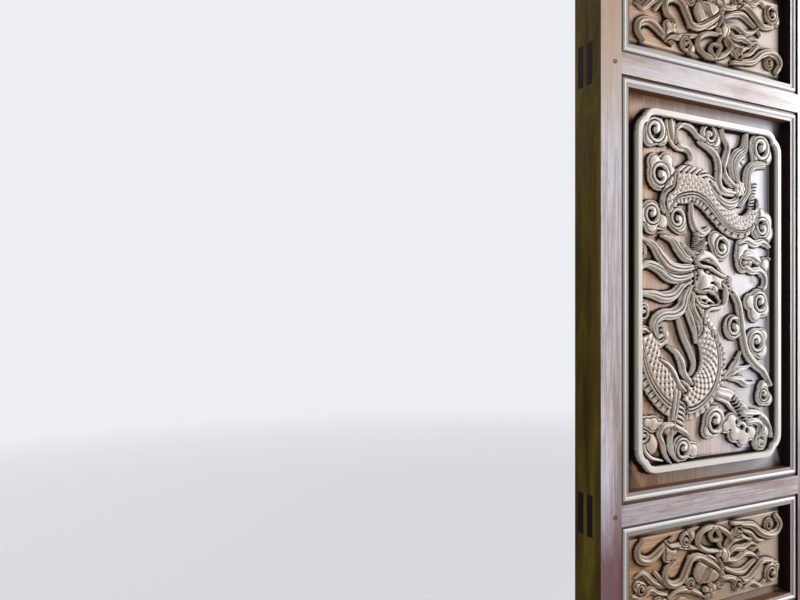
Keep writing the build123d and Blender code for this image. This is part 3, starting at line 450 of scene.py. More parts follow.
def pad(field, lobes, rise, rim=3.6, line=3.6, low=0.5, dome=0.15, melt=2.2):
    """Round lobes run together, with a line cut just inside the rim."""
    u, v, r = np.array(lobes).T
    window, gu, gv = window_at(field, (u - r).min() - 6, (u + r).max() + 6,
                               (v - r).min() - 6, (v + r).max() + 6)
    within = np.zeros(gu.shape)
    for u, v, r in lobes:
        within += np.exp(np.clip((r - np.hypot(gu - u, gv - v)) / melt, -30, 30))
    within = melt * np.log(within + 1e-9)
    edge = held(within / 4.5)
    height = rise * (low + (1 - low) * np.sqrt(1 - (1 - edge) ** 2)) + rise * dome * held(within / 20)
    height -= line * np.exp(-((within - rim) / 0.9) ** 2)
    set_in(field, window, height, within >= 0, -within, rise)


def ball(field, u, v, ru, rv, rise, base=0.0, turn=0.0, power=0.5):
    """Rounded lump on a base."""
    reach = max(ru, rv) + 1
    window, gu, gv = window_at(field, u - reach, u + reach, v - reach, v + reach)
    a = radians(turn)
    x = ((gu - u) * cos(a) + (gv - v) * sin(a)) / ru
    y = (-(gu - u) * sin(a) + (gv - v) * cos(a)) / rv
    r = np.hypot(x, y)
    h = field.h[window]
    h[...] = np.where(r < 1, np.maximum(h, base + rise * held(1 - r ** 2) ** power), h)


def volute(field, u, v, radius, mid, hand, rise):
    """Scroll: a deep crescent beside a round eye, running out to the rim as a fine line."""
    window, gu, gv = window_at(field, u - radius, u + radius, v - radius, v + radius)
    r = np.hypot(gu - u, gv - v) / radius
    turn = (hand * (np.arctan2(gv - v, gu - u) - radians(mid)) / (2 * pi) + 0.42) % 1.0
    wound = (r - 0.13) / 0.50
    lap = np.maximum(np.rint(wound - turn), 0)
    off = np.abs(wound - turn - lap) * 0.50 * radius
    place = lap + turn
    width = np.interp(place, (0.10, 0.28, 0.55, 0.85, 1.05), (0.02, 0.15, 0.17, 0.07, 0.0)) * radius + 1.0
    depth = np.interp(place, (0.08, 0.22, 0.70, 1.00, 1.30), (0.0, 0.95, 0.95, 0.50, 0.36)) * rise
    scroll = rise * (0.82 + 0.20 * (1 - r)) - depth * held(1.5 * np.exp(-(off / width) ** 2))
    eye = rise * (0.80 + 0.32 * np.sqrt(held(1 - (r / 0.24) ** 2)))
    scroll = np.where(r < 0.22, np.maximum(scroll, eye), scroll)
    scroll -= rise * 0.35 * held((r - 0.90) / 0.10) ** 2
    h = field.h[window]
    h[...] = np.where(r < 1, np.maximum(scroll, field.ground + 0.4), h)


def cloud(field, lobes, rise, scroll):
    """Cloud: a pad of lobes with a scroll on it."""
    pad(field, lobes, rise)
    volute(field, *scroll)


def coil(field, points, widths, rise, belly_side, scale=14.0, back=0.34, low=0.45, plates=11.0):
    """Dragon's body: rows of scales on its back, a double welt, and plates across its belly."""
    near = near_line(field, points, max(widths) / 2 + 4)
    half = taper(near.share, widths) / 2
    y = near.across * belly_side
    x = y / half
    height = rise * (low + (1 - low) * np.sqrt(held(1 - (0.8 * x) ** 2)))
    scales = np.full(x.shape, -9.0)
    for shift in (-1, 0, 1):
        row = np.floor(y / (0.5 * scale)) + shift
        odd = 0.5 * (row % 2)
        s = near.run - (np.floor(near.run / scale + odd) + 0.5 - odd) * scale
        reach = np.hypot(s / (0.53 * scale), (y - (row + 0.5) * 0.5 * scale) / (0.41 * scale))
        one = 2.2 + 3.4 * s / scale - 2.6 * reach ** 6
        scales = np.maximum(scales, np.where(reach < 1, one, -9.0))
    height = height + np.clip(scales, -3.4, 4.2) * held((back - x) / 0.10)
    for place, size, welt in ((0.10, 0.05, 3.2), (0.26, 0.045, 2.8), (0.18, 0.03, -3.2), (0.01, 0.03, -3.6)):
        height = height + welt * np.exp(-((x - back - place) / size) ** 2)
    wave = (near.run / plates) % 1.0
    belly = height - 1.0 - 5.5 * np.exp(-((wave - 0.5) / 0.17) ** 2) + 2.0 * np.sin(np.pi * wave)
    height = np.where(x > back + 0.32, belly, height)
    alongside = near.past < 2.5
    set_in(field, near.window, height, (np.abs(x) <= 1) & alongside,
           np.where(alongside, np.abs(near.across) - half, 99), rise)


def cusped_border(field):
    """Flat border round a tall slab's carving, each corner cut to two lobes that meet in a notch."""
    gu, gv = np.meshgrid(field.u, field.v)
    du = np.minimum(gu, field.u[-1] - gu)
    dv = np.minimum(gv, field.v[-1] - gv)
    centre, radius = (31.0, 44.5), 30.6
    lobes = np.maximum(radius - np.hypot(du - centre[0], dv - centre[1]),
                       radius - np.hypot(du - centre[1], dv - centre[0]))
    within = np.minimum(du, dv)
    within = np.where((du < 46) & (dv < 46), np.minimum(within, np.maximum(lobes, within - 38)), within)
    outer, inner = held(1 - within / 2.5), held(1 - (BORDER - within) / 2.0)
    band = BORDER_RISE - 2.2 * outer ** 2 - 1.6 * inner ** 2
    return np.where(within < 0, 0, np.where(within < BORDER, band, field.h))


def blurred(h, reach):
    """Heights smoothed over a distance in millimetres."""
    fy = np.fft.fftfreq(h.shape[0])[:, None]
    fx = np.fft.rfftfreq(h.shape[1])[None]
    return np.fft.irfft2(np.fft.rfft2(h) * np.exp(-2 * (np.pi * reach) ** 2 * (fx ** 2 + fy ** 2)), h.shape)


def stand_open(u, y, z):
    """Places on the shut leaf, in millimetres, turned about the pivots to the open leaf, in metres."""
    dx = u / 1000 - PIVOT[0]
    dy = y / 1000 - PIVOT[1]
    return np.stack([PIVOT[0] + dx * cos(OPEN_ANGLE) + dy * sin(OPEN_ANGLE),
                     PIVOT[1] - dx * sin(OPEN_ANGLE) + dy * cos(OPEN_ANGLE), z / 1000], 1)


def spots_of(mesh):
    """Places of a mesh's vertices."""
    spots = np.empty(len(mesh.vertices) * 3, np.float32)
    mesh.vertices.foreach_get("co", spots)
    return spots.reshape(-1, 3)


def carved_panel(name, slab, foot, margin, triangles, material, shade_reach=3.2):
    """Board with its carved slab: a grid with a vertex a millimetre, raised to its heights, and a back."""
    across = int(SIGHT_WIDTH + 2 * TONGUE)
    wide = int(margin + TONGUE)
    high = slab.shape[0] - 1 + 2 * wide
    height = np.zeros((high + 1, across + 1))
    height[wide:wide + slab.shape[0], wide:wide + slab.shape[1]] = slab
    height = np.maximum(blurred(height, WORN_EDGE), 0)
    foot -= TONGUE
    bpy.ops.mesh.primitive_grid_add(x_subdivisions=across, y_subdivisions=high, size=2)
    piece = bpy.context.object
    piece.name = "carved_" + name
    mesh = piece.data
    spots = spots_of(mesh)
    col = np.rint((spots[:, 0] + 1) / 2 * across).astype(int)
    row = np.rint((spots[:, 1] + 1) / 2 * high).astype(int)
    places = stand_open(col - across / 2, GROUND_Y - height[row, col], foot + row)
    mesh.vertices.foreach_set("co", places.astype(np.float32).ravel())
    # the corners of the tongues are cut away, and the edge is drawn back to the board's thickness
    notch = (np.minimum(col, across - col) < TONGUE) & (np.minimum(row, high - row) < TONGUE)
    bpy.ops.object.mode_set(mode="EDIT")
    bpy.ops.mesh.select_mode(type="VERT")
    bpy.ops.mesh.select_all(action="DESELECT")
    bpy.ops.object.mode_set(mode="OBJECT")
    mesh.vertices.foreach_set("select", notch)
    bpy.ops.object.mode_set(mode="EDIT")
    bpy.ops.mesh.delete(type="VERT")
    bpy.ops.mesh.select_mode(type="EDGE")
    bpy.ops.mesh.select_all(action="DESELECT")
    bpy.ops.mesh.select_non_manifold()
    back = BOARD / 1000
    bpy.ops.mesh.extrude_region_move(TRANSFORM_OT_translate={
        "value": (back * sin(OPEN_ANGLE), back * cos(OPEN_ANGLE), 0)})
    bpy.ops.mesh.edge_face_add()
    bpy.ops.mesh.select_all(action="SELECT")
    bpy.ops.mesh.normals_make_consistent(inside=False)
    bpy.ops.object.mode_set(mode="OBJECT")
    bpy.ops.object.transform_apply(location=True, rotation=True, scale=True)
    thin = piece.modifiers.new("fewer_faces", "DECIMATE")
    thin.ratio = triangles / (2 * across * high)
    bpy.ops.object.modifier_apply(modifier="fewer_faces")
    bpy.ops.object.shade_smooth_by_angle(angle=radians(48))
    # where each vertex that is left lies on the shut leaf
    spots = spots_of(mesh)
    dx, dy = spots[:, 0] - PIVOT[0], spots[:, 1] - PIVOT[1]
    u = (dx * cos(OPEN_ANGLE) - dy * sin(OPEN_ANGLE) + PIVOT[0]) * 1000
    y = (dx * sin(OPEN_ANGLE) + dy * cos(OPEN_ANGLE) + PIVOT[1]) * 1000
    col = np.clip(np.rint(u + across / 2).astype(int), 0, across)
    row = np.clip(np.rint(spots[:, 2] * 1000 - foot).astype(int), 0, high)
    # how deep it lies in a hollow, for painted shade, and how far it stands out, for a painted highlight
    hollow = np.maximum(held((blurred(height, shade_reach) - height - 0.5) / 3.0),
                        held((blurred(height, 1.8) - height - 0.25) / 1.3))
    crest = np.maximum(held((height - blurred(height, 4.0) + 0.4) / 2.6),
                       np.clip((height - blurred(height, 1.8) + 0.1) / 1.0, 0, 0.95) * (height > 6))
    # painted shade darkens the board round the slab, most of all beside it
    beside = np.minimum(np.arange(across + 1), across - np.arange(across + 1)) < wide
    beyond = np.minimum(np.arange(high + 1), high - np.arange(high + 1)) < wide
    hollow = np.maximum(hollow, np.where(beside[None], 0.60, np.where(beyond[:, None], 0.27, 0.0)))
    for title, values, on_back in (("hollow", hollow, 1), ("crest", crest, 0),
                                   ("rise", held(height / 16), 0),
                                   ("carved_side", np.ones_like(height), 0)):
        values = np.where(y < GROUND_Y + 1, values[row, col], on_back)
        mesh.attributes.new(title, "FLOAT", "POINT").data.foreach_set("value", values.astype(np.float32))
    mesh.materials.clear()
    mesh.materials.append(material)
    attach(piece, "leaf")
    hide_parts(name)
    bpy.ops.object.select_all(action="DESELECT")


def panel_wood(name, along, sheen_tone, raised_tone, crest_highlight_tone):
    """Carved wood: tan ground, painted shade near black in the hollows, painted highlights cream on the
    heights, a painted sheen towards the pivots, and a back darkened with painted shade.
    """
    timber = wood(name, PANEL_TONES, along, on_leaf=True, gloss=0.40)
    tree = timber.tree
    hollow, crest, rise, carved_side = [add_node(tree, "Attribute", attribute_name=title).outputs["Fac"]
                                        for title in ("hollow", "crest", "rise", "carved_side")]
    place = add_node(tree, "SeparateXYZ", {"Vector": timber.shut}).outputs
    # painted sheen, growing towards the pivots' side
    face = tinted(timber.colour, place["X"], SHEEN_SIDE, 0.80, sheen_tone)
    face = tinted(face, rise, (0.30, 0.62), 0.62, raised_tone)
    # painted highlight: cream on the heights
    face = tinted(face, crest, (0.20, 0.95), 0.90, crest_highlight_tone)
    # painted shade, near black, in the hollows
    face = tinted(face, hollow, (0.08, 0.56), 0.98, HOLLOW_SHADE)
    # the back gets painted shade, dark olive
    back = mix("MULTIPLY", 1.0, timber.colour, (0.17, 0.165, 0.065))
    wire(timber.skin, {"Base Color": mix("MIX", carved_side, back, face),
                       "Specular IOR Level": between(hollow, 0.0, 0.7, 0.40, 0.04),
                       "Coat Weight": between(crest, 0.2, 0.9, 0.0, 0.12)})
    return timber.material


def dragon():
    """The dragon's heights: clouds first, then its body, limbs, locks and head."""
    f = new_field(TALL_SLAB, TALL_GROUND)
    cloud(f, [(50, 622, 28), (68, 612, 18), (38, 604, 15)], 10, (52, 621, 25, 200, 1, 12))
    cloud(f, [(196, 630, 24), (212, 620, 16)], 9, (196, 630, 21, 330, 1, 11))
    cloud(f, [(342, 622, 30), (360, 606, 18), (336, 600, 18)], 11, (343, 621, 26, 180, 1, 14))
    lock(f, [(88, 656), (92, 634), (98, 614), (111, 601), (130, 597), (142, 588), (143, 574), (132, 568)],
         (22, 30, 15, 6), 12)
    lock(f, [(104, 604), (105, 626), (121, 640), (145, 636), (162, 623), (180, 618)], (8, 13, 10), 12)
    cloud(f, [(50, 562, 17), (80, 566, 18), (62, 540, 29), (88, 546, 17)], 10, (64, 540, 24, 215, -1, 13))
    cloud(f, [(22, 464, 16), (42, 448, 17), (68, 456, 16), (42, 468, 26)], 10, (42, 468, 21, 190, 1, 13))
    cloud(f, [(108, 464, 24), (118, 452, 17)], 8, (109, 464, 21, 190, -1, 11))
    cloud(f, [(228, 416, 26), (212, 430, 18)], 9, (228, 417, 22, 190, -1, 13))
    cloud(f, [(340, 484, 20), (360, 474, 20), (366, 452, 18), (358, 438, 15), (343, 462, 28)], 10,
          (346, 461, 22, 185, -1, 14))
    cloud(f, [(290, 418, 18), (286, 402, 17), (292, 388, 20), (308, 398, 15)], 10,
          (293, 388, 17, 190, -1, 13))
    lock(f, [(280, 428), (300, 435), (326, 428), (350, 433), (370, 424)], (10, 16, 15, 10), 12)
    lock(f, [(298, 404), (318, 403), (338, 394), (356, 390), (370, 398)], (16, 18, 17, 12), 12)
    pad(f, [(358, 388, 15), (352, 374, 14)], 9)
    lock(f, [(300, 380), (318, 373), (340, 375), (357, 363), (357, 346), (344, 334)], (12, 15, 17, 14), 12)
    cut(f, [(330, 358), (342, 353)], (14, 17), 14, 2.0, 0.3)
    cloud(f, [(338, 312, 27), (312, 312, 17), (328, 290, 19), (354, 298, 17)], 10, (340, 312, 22, 185, 1, 14))
    cloud(f, [(330, 232, 28), (346, 216, 19), (350, 244, 16)], 10, (330, 233, 24, 225, 1, 14))
    cloud(f, [(262, 262, 25)], 10, (263, 262, 23, 190, -1, 14))
    cloud(f, [(352, 140, 15), (350, 122, 19), (366, 116, 14)], 11, (352, 126, 16, 190, 1, 13))
    cloud(f, [(208, 82, 30), (190, 66, 16)], 10, (208, 83, 26, 190, 1, 15))
    pad(f, [(266, 54, 18), (290, 44, 19), (314, 52, 16), (240, 70, 14), (256, 78, 18), (296, 62, 20)], 10)
    cloud(f, [(342, 34, 22), (354, 54, 18)], 10, (341, 33, 18, 330, 1, 14))
    cloud(f, [(122, 38, 25), (150, 32, 16)], 9, (122, 38, 21, 180, 1, 13))
    ball(f, 44, 52, 19, 21, 11)
    lock(f, [(26, 70), (26, 46), (42, 28), (70, 20)], (4, 8, 5), 9, 0)
    cloud(f, [(24, 70, 15)], 9, (24, 70, 13, 40, -1, 11))
    pad(f, [(16, 98, 10), (32, 92, 12), (48, 88, 16), (66, 84, 12)], 8)
    cloud(f, [(22, 292, 18)], 8, (22, 292, 16, 20, -1, 11))
    cloud(f, [(16, 400, 18)], 8, (16, 400, 15, 20, -1, 10))
    lock(f, [(4, 254), (26, 260), (46, 246), (62, 232), (78, 238)], (12, 18, 12), 10)
    lock(f, [(4, 238), (26, 240), (46, 226), (62, 212)], (6, 12, 4), 10)
    ball(f, 80, 250, 9, 10, 10)
    # the two turns of the body, with a crest of short hairs along them
    coil(f, [(148, 300), (172, 264), (193, 234), (201, 196), (190, 160), (160, 133), (126, 126), (90, 138),
             (60, 164), (38, 196), (20, 244)], (42, 60, 72, 74, 70, 50), 13, 1, scale=15.5)
    coil(f, [(72, 472), (98, 512), (140, 526), (180, 518), (214, 492), (244, 468), (276, 458), (306, 468),
             (324, 498), (316, 534)], (26, 62, 62, 50, 40, 18), 13, -1, plates=15)
    lock(f, [(78, 468), (70, 488), (76, 508), (94, 522), (100, 546)], (5, 8, 6), 14)
    for k in range(5):
        u, v = 112 + 14 * k, 553 - 1.2 * max(0, k - 2)
        lock(f, [(u, v), (u + 12, v + 8), (u + 26, v + 12 - 2 * k)], (9, 8, 2), 10, 0, 1.2)
    lock(f, [(170, 548), (190, 552), (212, 546)], (8, 7, 2), 9, 0, 1.2)
    for k in range(8):
        u, v = 312 + 1.6 * k, 498 + 6.5 * k
        lock(f, [(u, v), (u + 8, v + 1), (u + 14, v + 7)], (6, 5, 1), 9, 0, 1.2)
    for k in range(14):
        angle = radians(-46 + 8.5 * k)
        u, v = 170 + 62 * cos(angle), 186 + 66 * sin(angle)
        s, t = 170 + 75 * cos(angle + 0.12), 186 + 80 * sin(angle + 0.12)
        lock(f, [(u, v), ((u + s) / 2, (v + t) / 2), (s, t)], (6, 4.5, 1), 10, 0, 1.0)
    lock(f, [(146, 494), (148, 470), (158, 450), (176, 441), (194, 448)], (10, 20, 12), 11)
    # tail tuft
    lock(f, [(190, 536), (212, 514), (238, 502), (264, 504), (286, 520)], (6, 20, 18), 13, 2)
    lock(f, [(354, 588), (324, 584), (308, 570), (304, 548), (302, 528), (284, 508)], (14, 22, 20), 13, 3)
    lock(f, [(300, 644), (294, 612), (276, 598), (264, 582), (266, 562), (272, 546)], (10, 28, 22), 13, 4)
    lock(f, [(224, 654), (233, 630), (247, 611), (240, 588), (234, 568), (244, 550), (266, 537)],
         (7, 16, 15), 13)
    lock(f, [(166, 612), (196, 602), (215, 588), (222, 565), (220, 544), (231, 527), (262, 524)],
         (7, 18, 15), 13)
    for k in range(7):
        ball(f, 277 + 10 * cos(k * 0.9), 533 + 10 * sin(k * 0.9), 6, 6, 5, 9)
    ball(f, 277, 533, 8, 8, 6, 9)
    # hind leg, foreleg with its hairs and the flames behind it, and their claws
    lock(f, [(106, 140), (101, 112), (94, 84)], (28, 26, 18), 13, 2)
    for k in range(5):
        lock(f, [(112 - k, 126 - 9 * k), (124 - k, 120 - 9 * k), (130 - k, 110 - 9 * k)],
             (7, 7, 2), 11, 0, 1.2)
    ball(f, 94, 76, 18, 15, 14)
    lock(f, [(222, 134), (250, 126), (280, 104), (312, 84), (340, 78)], (26, 34, 26, 18), 13)
    cut(f, [(258, 120), (280, 96), (306, 70)], (16, 18, 8), 9, 3.5, 0.3)
    for k in range(9):
        u, v = 266 + 6.2 * k, 128 - 6.6 * k
        lock(f, [(u, v), (u - 3, v - 6), (u - 11, v - 10)], (5, 4.5, 1), 12, 0, 1.0)
    lock(f, [(238, 164), (258, 178), (272, 192), (282, 214)], (8, 19, 3), 12)
    lock(f, [(246, 164), (274, 178), (296, 181), (318, 188)], (8, 14, 3), 12)
    lock(f, [(254, 162), (282, 159), (302, 149), (326, 152)], (8, 17, 3), 12)
    for u, v in ((271, 77), (287, 67), (302, 59)):
        ball(f, u, v, 11, 10, 13)
    for u, v in ((271, 77), (286, 66), (300, 59)):
        cut(f, [(u, v), (u + 1, v - 1)], (11, 11), 10, power=0.3)
    lock(f, [(374, 40), (368, 62), (348, 82), (318, 90), (292, 92)], (6, 15, 18, 14), 14)
    lock(f, [(336, 42), (346, 62), (330, 74), (306, 74)], (6, 15, 14), 14)
    cut(f, [(322, 84), (334, 84)], (8, 8), 8)
    lock(f, [(88, 14), (75, 32), (69, 52), (61, 66), (70, 82), (94, 84)], (5, 12, 12), 14)
    lock(f, [(108, 14), (94, 32), (88, 50), (92, 70)], (5, 12, 12), 14)
    lock(f, [(142, 52), (126, 68), (102, 80)], (5, 12, 11), 14)
    # locks inside the lower turn, then the mane and the whisker
    lock(f, [(106, 290), (116, 262), (128, 238), (144, 212), (150, 194), (144, 178), (128, 168)],
         (7, 12, 11, 5), 14)
    lock(f, [(82, 228), (104, 216), (118, 198), (124, 178), (142, 158)], (5, 16, 12), 14.5)
    lock(f, [(58, 206), (82, 194), (98, 176), (108, 160), (124, 146)], (5, 16, 12), 14.5)
    lock(f, [(154, 338), (146, 314), (150, 296), (164, 276), (168, 258), (158, 244)], (11, 14, 5), 14.5)
    lock(f, [(138, 324), (133, 300), (144, 278), (152, 258), (156, 234)], (10, 13, 5), 14)
    lock(f, [(146, 348), (127, 322), (119, 300), (98, 288), (70, 286), (51, 276), (46, 260), (56, 247),
             (72, 252)], (16, 24, 20, 9), 15, 2)
    volute(f, 64, 259, 10, 120, 1, 14)
    lock(f, [(148, 354), (120, 341), (98, 323), (72, 318), (44, 323), (4, 326)], (15, 23, 8), 14.5, 2)
    lock(f, [(152, 364), (118, 354), (90, 355), (58, 371), (30, 377), (4, 366)], (15, 23, 9), 15, 2)
    lock(f, [(152, 376), (118, 371), (86, 376), (64, 393), (44, 413), (14, 424)], (15, 26, 7), 14.5, 2)
    lock(f, [(152, 388), (127, 394), (110, 409), (94, 424), (68, 430)], (14, 20, 5), 14, 2)
    lock(f, [(232, 340), (258, 331), (277, 308), (284, 278), (290, 246), (302, 212), (326, 189), (350, 174),
             (372, 146)], (10, 17, 17, 20, 12), 14)
    # head: skull, snout and jaw, notched horns, brow, cheek and eye
    ball(f, 178, 350, 31, 25, 11, 3, -8, 0.35)
    ball(f, 215, 351, 28, 15, 11, 3, -12, 0.4)
    ball(f, 192, 312, 40, 13, 8, 3, -3, 0.4)
    ball(f, 177, 344, 15, 17, 5, 12)
    lock(f, [(154, 395), (140, 403), (123, 413)], (14, 14, 12), 14, 0)
    for k in range(8):
        u, v = 149 - 3.4 * k, 398 + 2.1 * k
        cut(f, [(u - 3, v - 7), (u + 3, v + 7)], (2.2, 2.2), 7, 2.0)
    lock(f, [(159, 402), (160, 418), (157, 437)], (15, 19, 9), 15, 0)
    lock(f, [(160, 411), (169, 416), (181, 422)], (14, 13, 7), 14.5, 0)
    for k in range(8):
        u, v = 160 + 0.4 * k, 407 + 3.5 * k
        cut(f, [(u - 10, v + 3), (u, v), (u + 12, v - 3)], (2.0, 2.4, 2.0), 8, 2.0)
    lock(f, [(160, 393), (183, 398), (205, 388), (225, 366)], (13, 21, 17, 5), 15.5, 0)
    for k in range(4):
        ball(f, 175 + 12 * k, 404 - 1.3 * k - 2.6 * k * k, 7, 5, 5, 9, -20 * k)
    cut(f, [(168, 389), (187, 392), (207, 380)], (1.8, 2.2, 1.8), 3.5)
    cut(f, [(196, 381), (208, 374), (219, 366)], (8, 11, 3), 13, 2.0)
    lock(f, [(152, 388), (164, 379), (178, 377), (192, 375), (206, 368), (224, 361), (242, 360)],
         (5, 7, 8, 9, 7), 16.5, 0)
    cut(f, [(147, 392), (152, 376), (150, 356), (150, 336), (156, 322)], (6, 9, 10, 9, 6), 13, 2.0, 0.3)
    cut(f, [(161, 371), (161, 362), (158, 352)], (5, 8, 5), 9)
    cut(f, [(179, 369), (186, 368), (194, 365)], (8, 11, 6), 10, 5.0, 0.3)
    ball(f, 187, 367, 4, 3.2, 3, 9)
    # nose, lips, teeth and the ridge under the chin
    volute(f, 241, 352, 12, 200, 1, 16)
    lock(f, [(246, 346), (254, 343), (259, 347)], (6, 4.5, 1), 12, 0)
    lock(f, [(244, 338), (252, 335), (257, 330)], (6, 4.5, 1), 12, 0)
    ball(f, 208, 336, 9, 6, 4, 10, -25)
    cut(f, [(193, 346), (203, 347), (213, 341), (220, 328), (225, 312)], (4, 5, 8, 10, 6), 12, 2.5)
    lock(f, [(172, 331), (188, 332), (204, 325), (219, 311)], (5, 6, 6, 4), 15.5, 0)
    cut(f, [(191, 322), (204, 317), (215, 309)], (8, 12, 6), 13, 2.0, 0.3)
    for u, v in ((163, 316), (178, 313), (193, 308)):
        cut(f, [(u - 4, v + 1), (u + 4, v - 1)], (5, 7), 9)
    lock(f, [(154, 322), (164, 307), (180, 302), (202, 303), (224, 305)], (5, 7, 7, 4), 13, 0)
    lock(f, [(226, 347), (237, 337), (239, 320), (232, 305), (214, 299), (194, 297), (180, 288), (178, 270)],
         (6, 9, 9, 8, 8, 8, 6), 14.5, 0)
    return cusped_border(f)


tall_wood = panel_wood("panel_wood_upright", "Z", sheen_tone=(0.68, 0.69, 0.78),
                       raised_tone=(0.60, 0.49, 0.39), crest_highlight_tone=(0.82, 0.76, 0.69))
carved_panel("dragon_panel", dragon(), DRAGON_FOOT, TALL_MARGIN, TALL_TRIANGLES, tall_wood)

# Medallion panel: medallion_panel
# The upper tall board, made in the same way. Its slab is carved with two rings with a running scroll between
# them, a flower and leaves within, a flower spray in each corner, and a lotus above and below.
MEDALLION_FOOT = 1735.0
MEDALLION_RADIUS = 153.0
INNER_RADIUS = 109.5
SCROLL_RADIUS = 127
FIELD_HEIGHT = 3.0


def around(u, v, reach, angle):
    """Place at a reach and an angle from another."""
    return u + reach * cos(angle), v + reach * sin(angle)


def flower(f, u, v, size, rise, petals=5, turn=90.0):
    """Open flower seen from the front, with creased petals round a button."""
    for k in range(petals):
        a = radians(turn + 360 / petals * k)
        ball(f, *around(u, v, 0.56 * size, a), 0.46 * size, 0.36 * size, rise * 0.75, rise * 0.25,
             turn + 360 / petals * k)
        cut(f, [around(u, v, 0.3 * size, a), around(u, v, 0.9 * size, a)], (2.0, 1.2), 3.0)
    for k in range(petals):
        a = radians(turn + 360 / petals * (k + 0.5))
        cut(f, [around(u, v, 0.3 * size, a), around(u, v, 0.95 * size, a)], (2.0, 5.0), 8.0)
    ball(f, u, v, 0.26 * size, 0.26 * size, rise * 0.55, rise * 0.5)


def medallion():
    """The medallion's heights."""
    f = new_field(TALL_SLAB, TALL_GROUND)
    cu, cv = TALL_SLAB[0] / 2, TALL_SLAB[1] / 2
    # spray of one corner: stems, leaves and curls round a flower; the other corners mirror it
    u, v = cu - 128, cv - 250
    lock(f, [(u, v), (60, 118), (42, 150), (36, 190), (46, 224)], (8, 15, 15, 5), 12)
    lock(f, [(u, v), (100, 108), (132, 124), (164, 150), (172, 166)], (8, 16, 14, 4), 12)
    lock(f, [(u, v), (108, 66), (136, 84), (150, 104)], (8, 17, 3), 12)
    lock(f, [(56, 122), (78, 140), (84, 170)], (5, 15, 2), 11)
    lock(f, [(98, 106), (106, 132), (96, 156)], (5, 15, 2), 11)
    lock(f, [(40, 160), (26, 176), (24, 204)], (5, 12, 2), 10)
    lock(f, [(38, 184), (58, 196), (66, 220)], (5, 14, 2), 11)
    lock(f, [(128, 122), (150, 118), (166, 132)], (5, 13, 2), 10)
    lock(f, [(u, v), (40, 96), (24, 120), (22, 146)], (8, 16, 3), 12)
    lock(f, [(u, v), (96, 44), (124, 46), (146, 34)], (8, 17, 3), 12)
    cloud(f, [(46, 44, 18), (64, 38, 14), (34, 58, 13)], 10, (46, 44, 15, 200, -1, 12))
    cloud(f, [(116, 160, 13), (128, 168, 10)], 10, (116, 160, 11, 30, 1, 12))
    cloud(f, [(40, 246, 13), (28, 252, 10)], 10, (40, 246, 11, 260, 1, 12))
    flower(f, u, v, 33, 15)
    flower(f, cu - 62, cv - 290, 20, 13)
    f.h = np.maximum(np.maximum(f.h, f.h[::-1]), np.maximum(f.h[:, ::-1], f.h[::-1, ::-1]))
    # lotus vases above and below the rings
    for side in (-1, 1):
        v = cv + side * 214
        pad(f, [(cu, v + side * 62, 30), (cu - 22, v + side * 72, 20), (cu + 22, v + side * 72, 20)], 11)
        heart = v + 18 * side
        for k in (-2, 2, -1, 1, 0):
            a = radians(90 * side + 34 * k)
            lock(f, [around(cu, heart, reach, a) for reach in (4, 24, 46)], (12, 25, 3),
                 12 + 0.8 * (2 - abs(k)), 3)
        ball(f, cu, heart, 15, 12, 7, 8)
    # the field of the medallion, the running scroll, the leaves and flowers within, and the two rings
    gu, gv = np.meshgrid(f.u, f.v)
    far = np.hypot(gu - cu, gv - cv)
    f.h = np.where(far < MEDALLION_RADIUS, FIELD_HEIGHT, f.h)
    f.ground = FIELD_HEIGHT
    for k in range(14):
        a = 2 * pi * k / 14
        hand = 1 if k % 2 else -1
        lock(f, [around(cu, cv, SCROLL_RADIUS + out * hand, a + turn) for out, turn in
                 ((9, 0.0), (-8, 0.17), (-6, 0.30))], (10, 12, 3), 10)
        u, v = around(cu, cv, SCROLL_RADIUS, a)
        cloud(f, [(u, v, 12)], 8.5, (u, v, 11, np.degrees(a) + 90, hand, 10))
    for k in range(6):
        a = 2 * pi * k / 6 + 0.3
        lock(f, [around(cu, cv, reach, a + turn) for reach, turn in
                 ((22, 0.0), (48, 0.16), (70, 0.02), (88, -0.26), (97, -0.62))], (12, 22, 20, 14, 4), 12, 3)
        b = a + 0.62
        u, v = around(cu, cv, 80, b)
        cloud(f, [(u, v, 15), (*around(cu, cv, 68, b + 0.22), 11)], 9, (u, v, 13, np.degrees(b) + 180, 1, 11))
        c = a + 0.46
        lock(f, [around(cu, cv, 30, c), around(cu, cv, 46, c + 0.1), around(cu, cv, 62, c - 0.05)],
             (8, 15, 3), 11)
    flower(f, cu, cv, 42, 15, 8)
    flower(f, cu, cv, 26, 17, 6, 60)
    for radius, width in ((MEDALLION_RADIUS, 9.0), (INNER_RADIUS, 8.0)):
        x = (far - radius + width / 2) / (width / 2)
        ring = 11.5 + 3.0 * np.sqrt(held(1 - x ** 2)) - 1.6 * np.exp(-(x / 0.22) ** 2)
        f.h = np.where(np.abs(x) <= 1, ring, f.h)
    return cusped_border(f)


carved_panel("medallion_panel", medallion(), MEDALLION_FOOT, TALL_MARGIN, TALL_TRIANGLES, tall_wood)

# Short panels: bottom_panel, middle_panel, top_panel
# Three low boards, each with a plain-edged slab carved with knotted ribbons and scrolling leaves. The same
# pattern is used on all three, upside down on the middle one, and the grain runs across.
SHORT_SLAB = (418.0, 152.0)
SHORT_MARGIN = 15.0
SHORT_GROUND = 4.0
SHORT_TRIANGLES = 90000
# reach of the painted shade in the hollows
SHORT_SHADE_REACH = 5.5


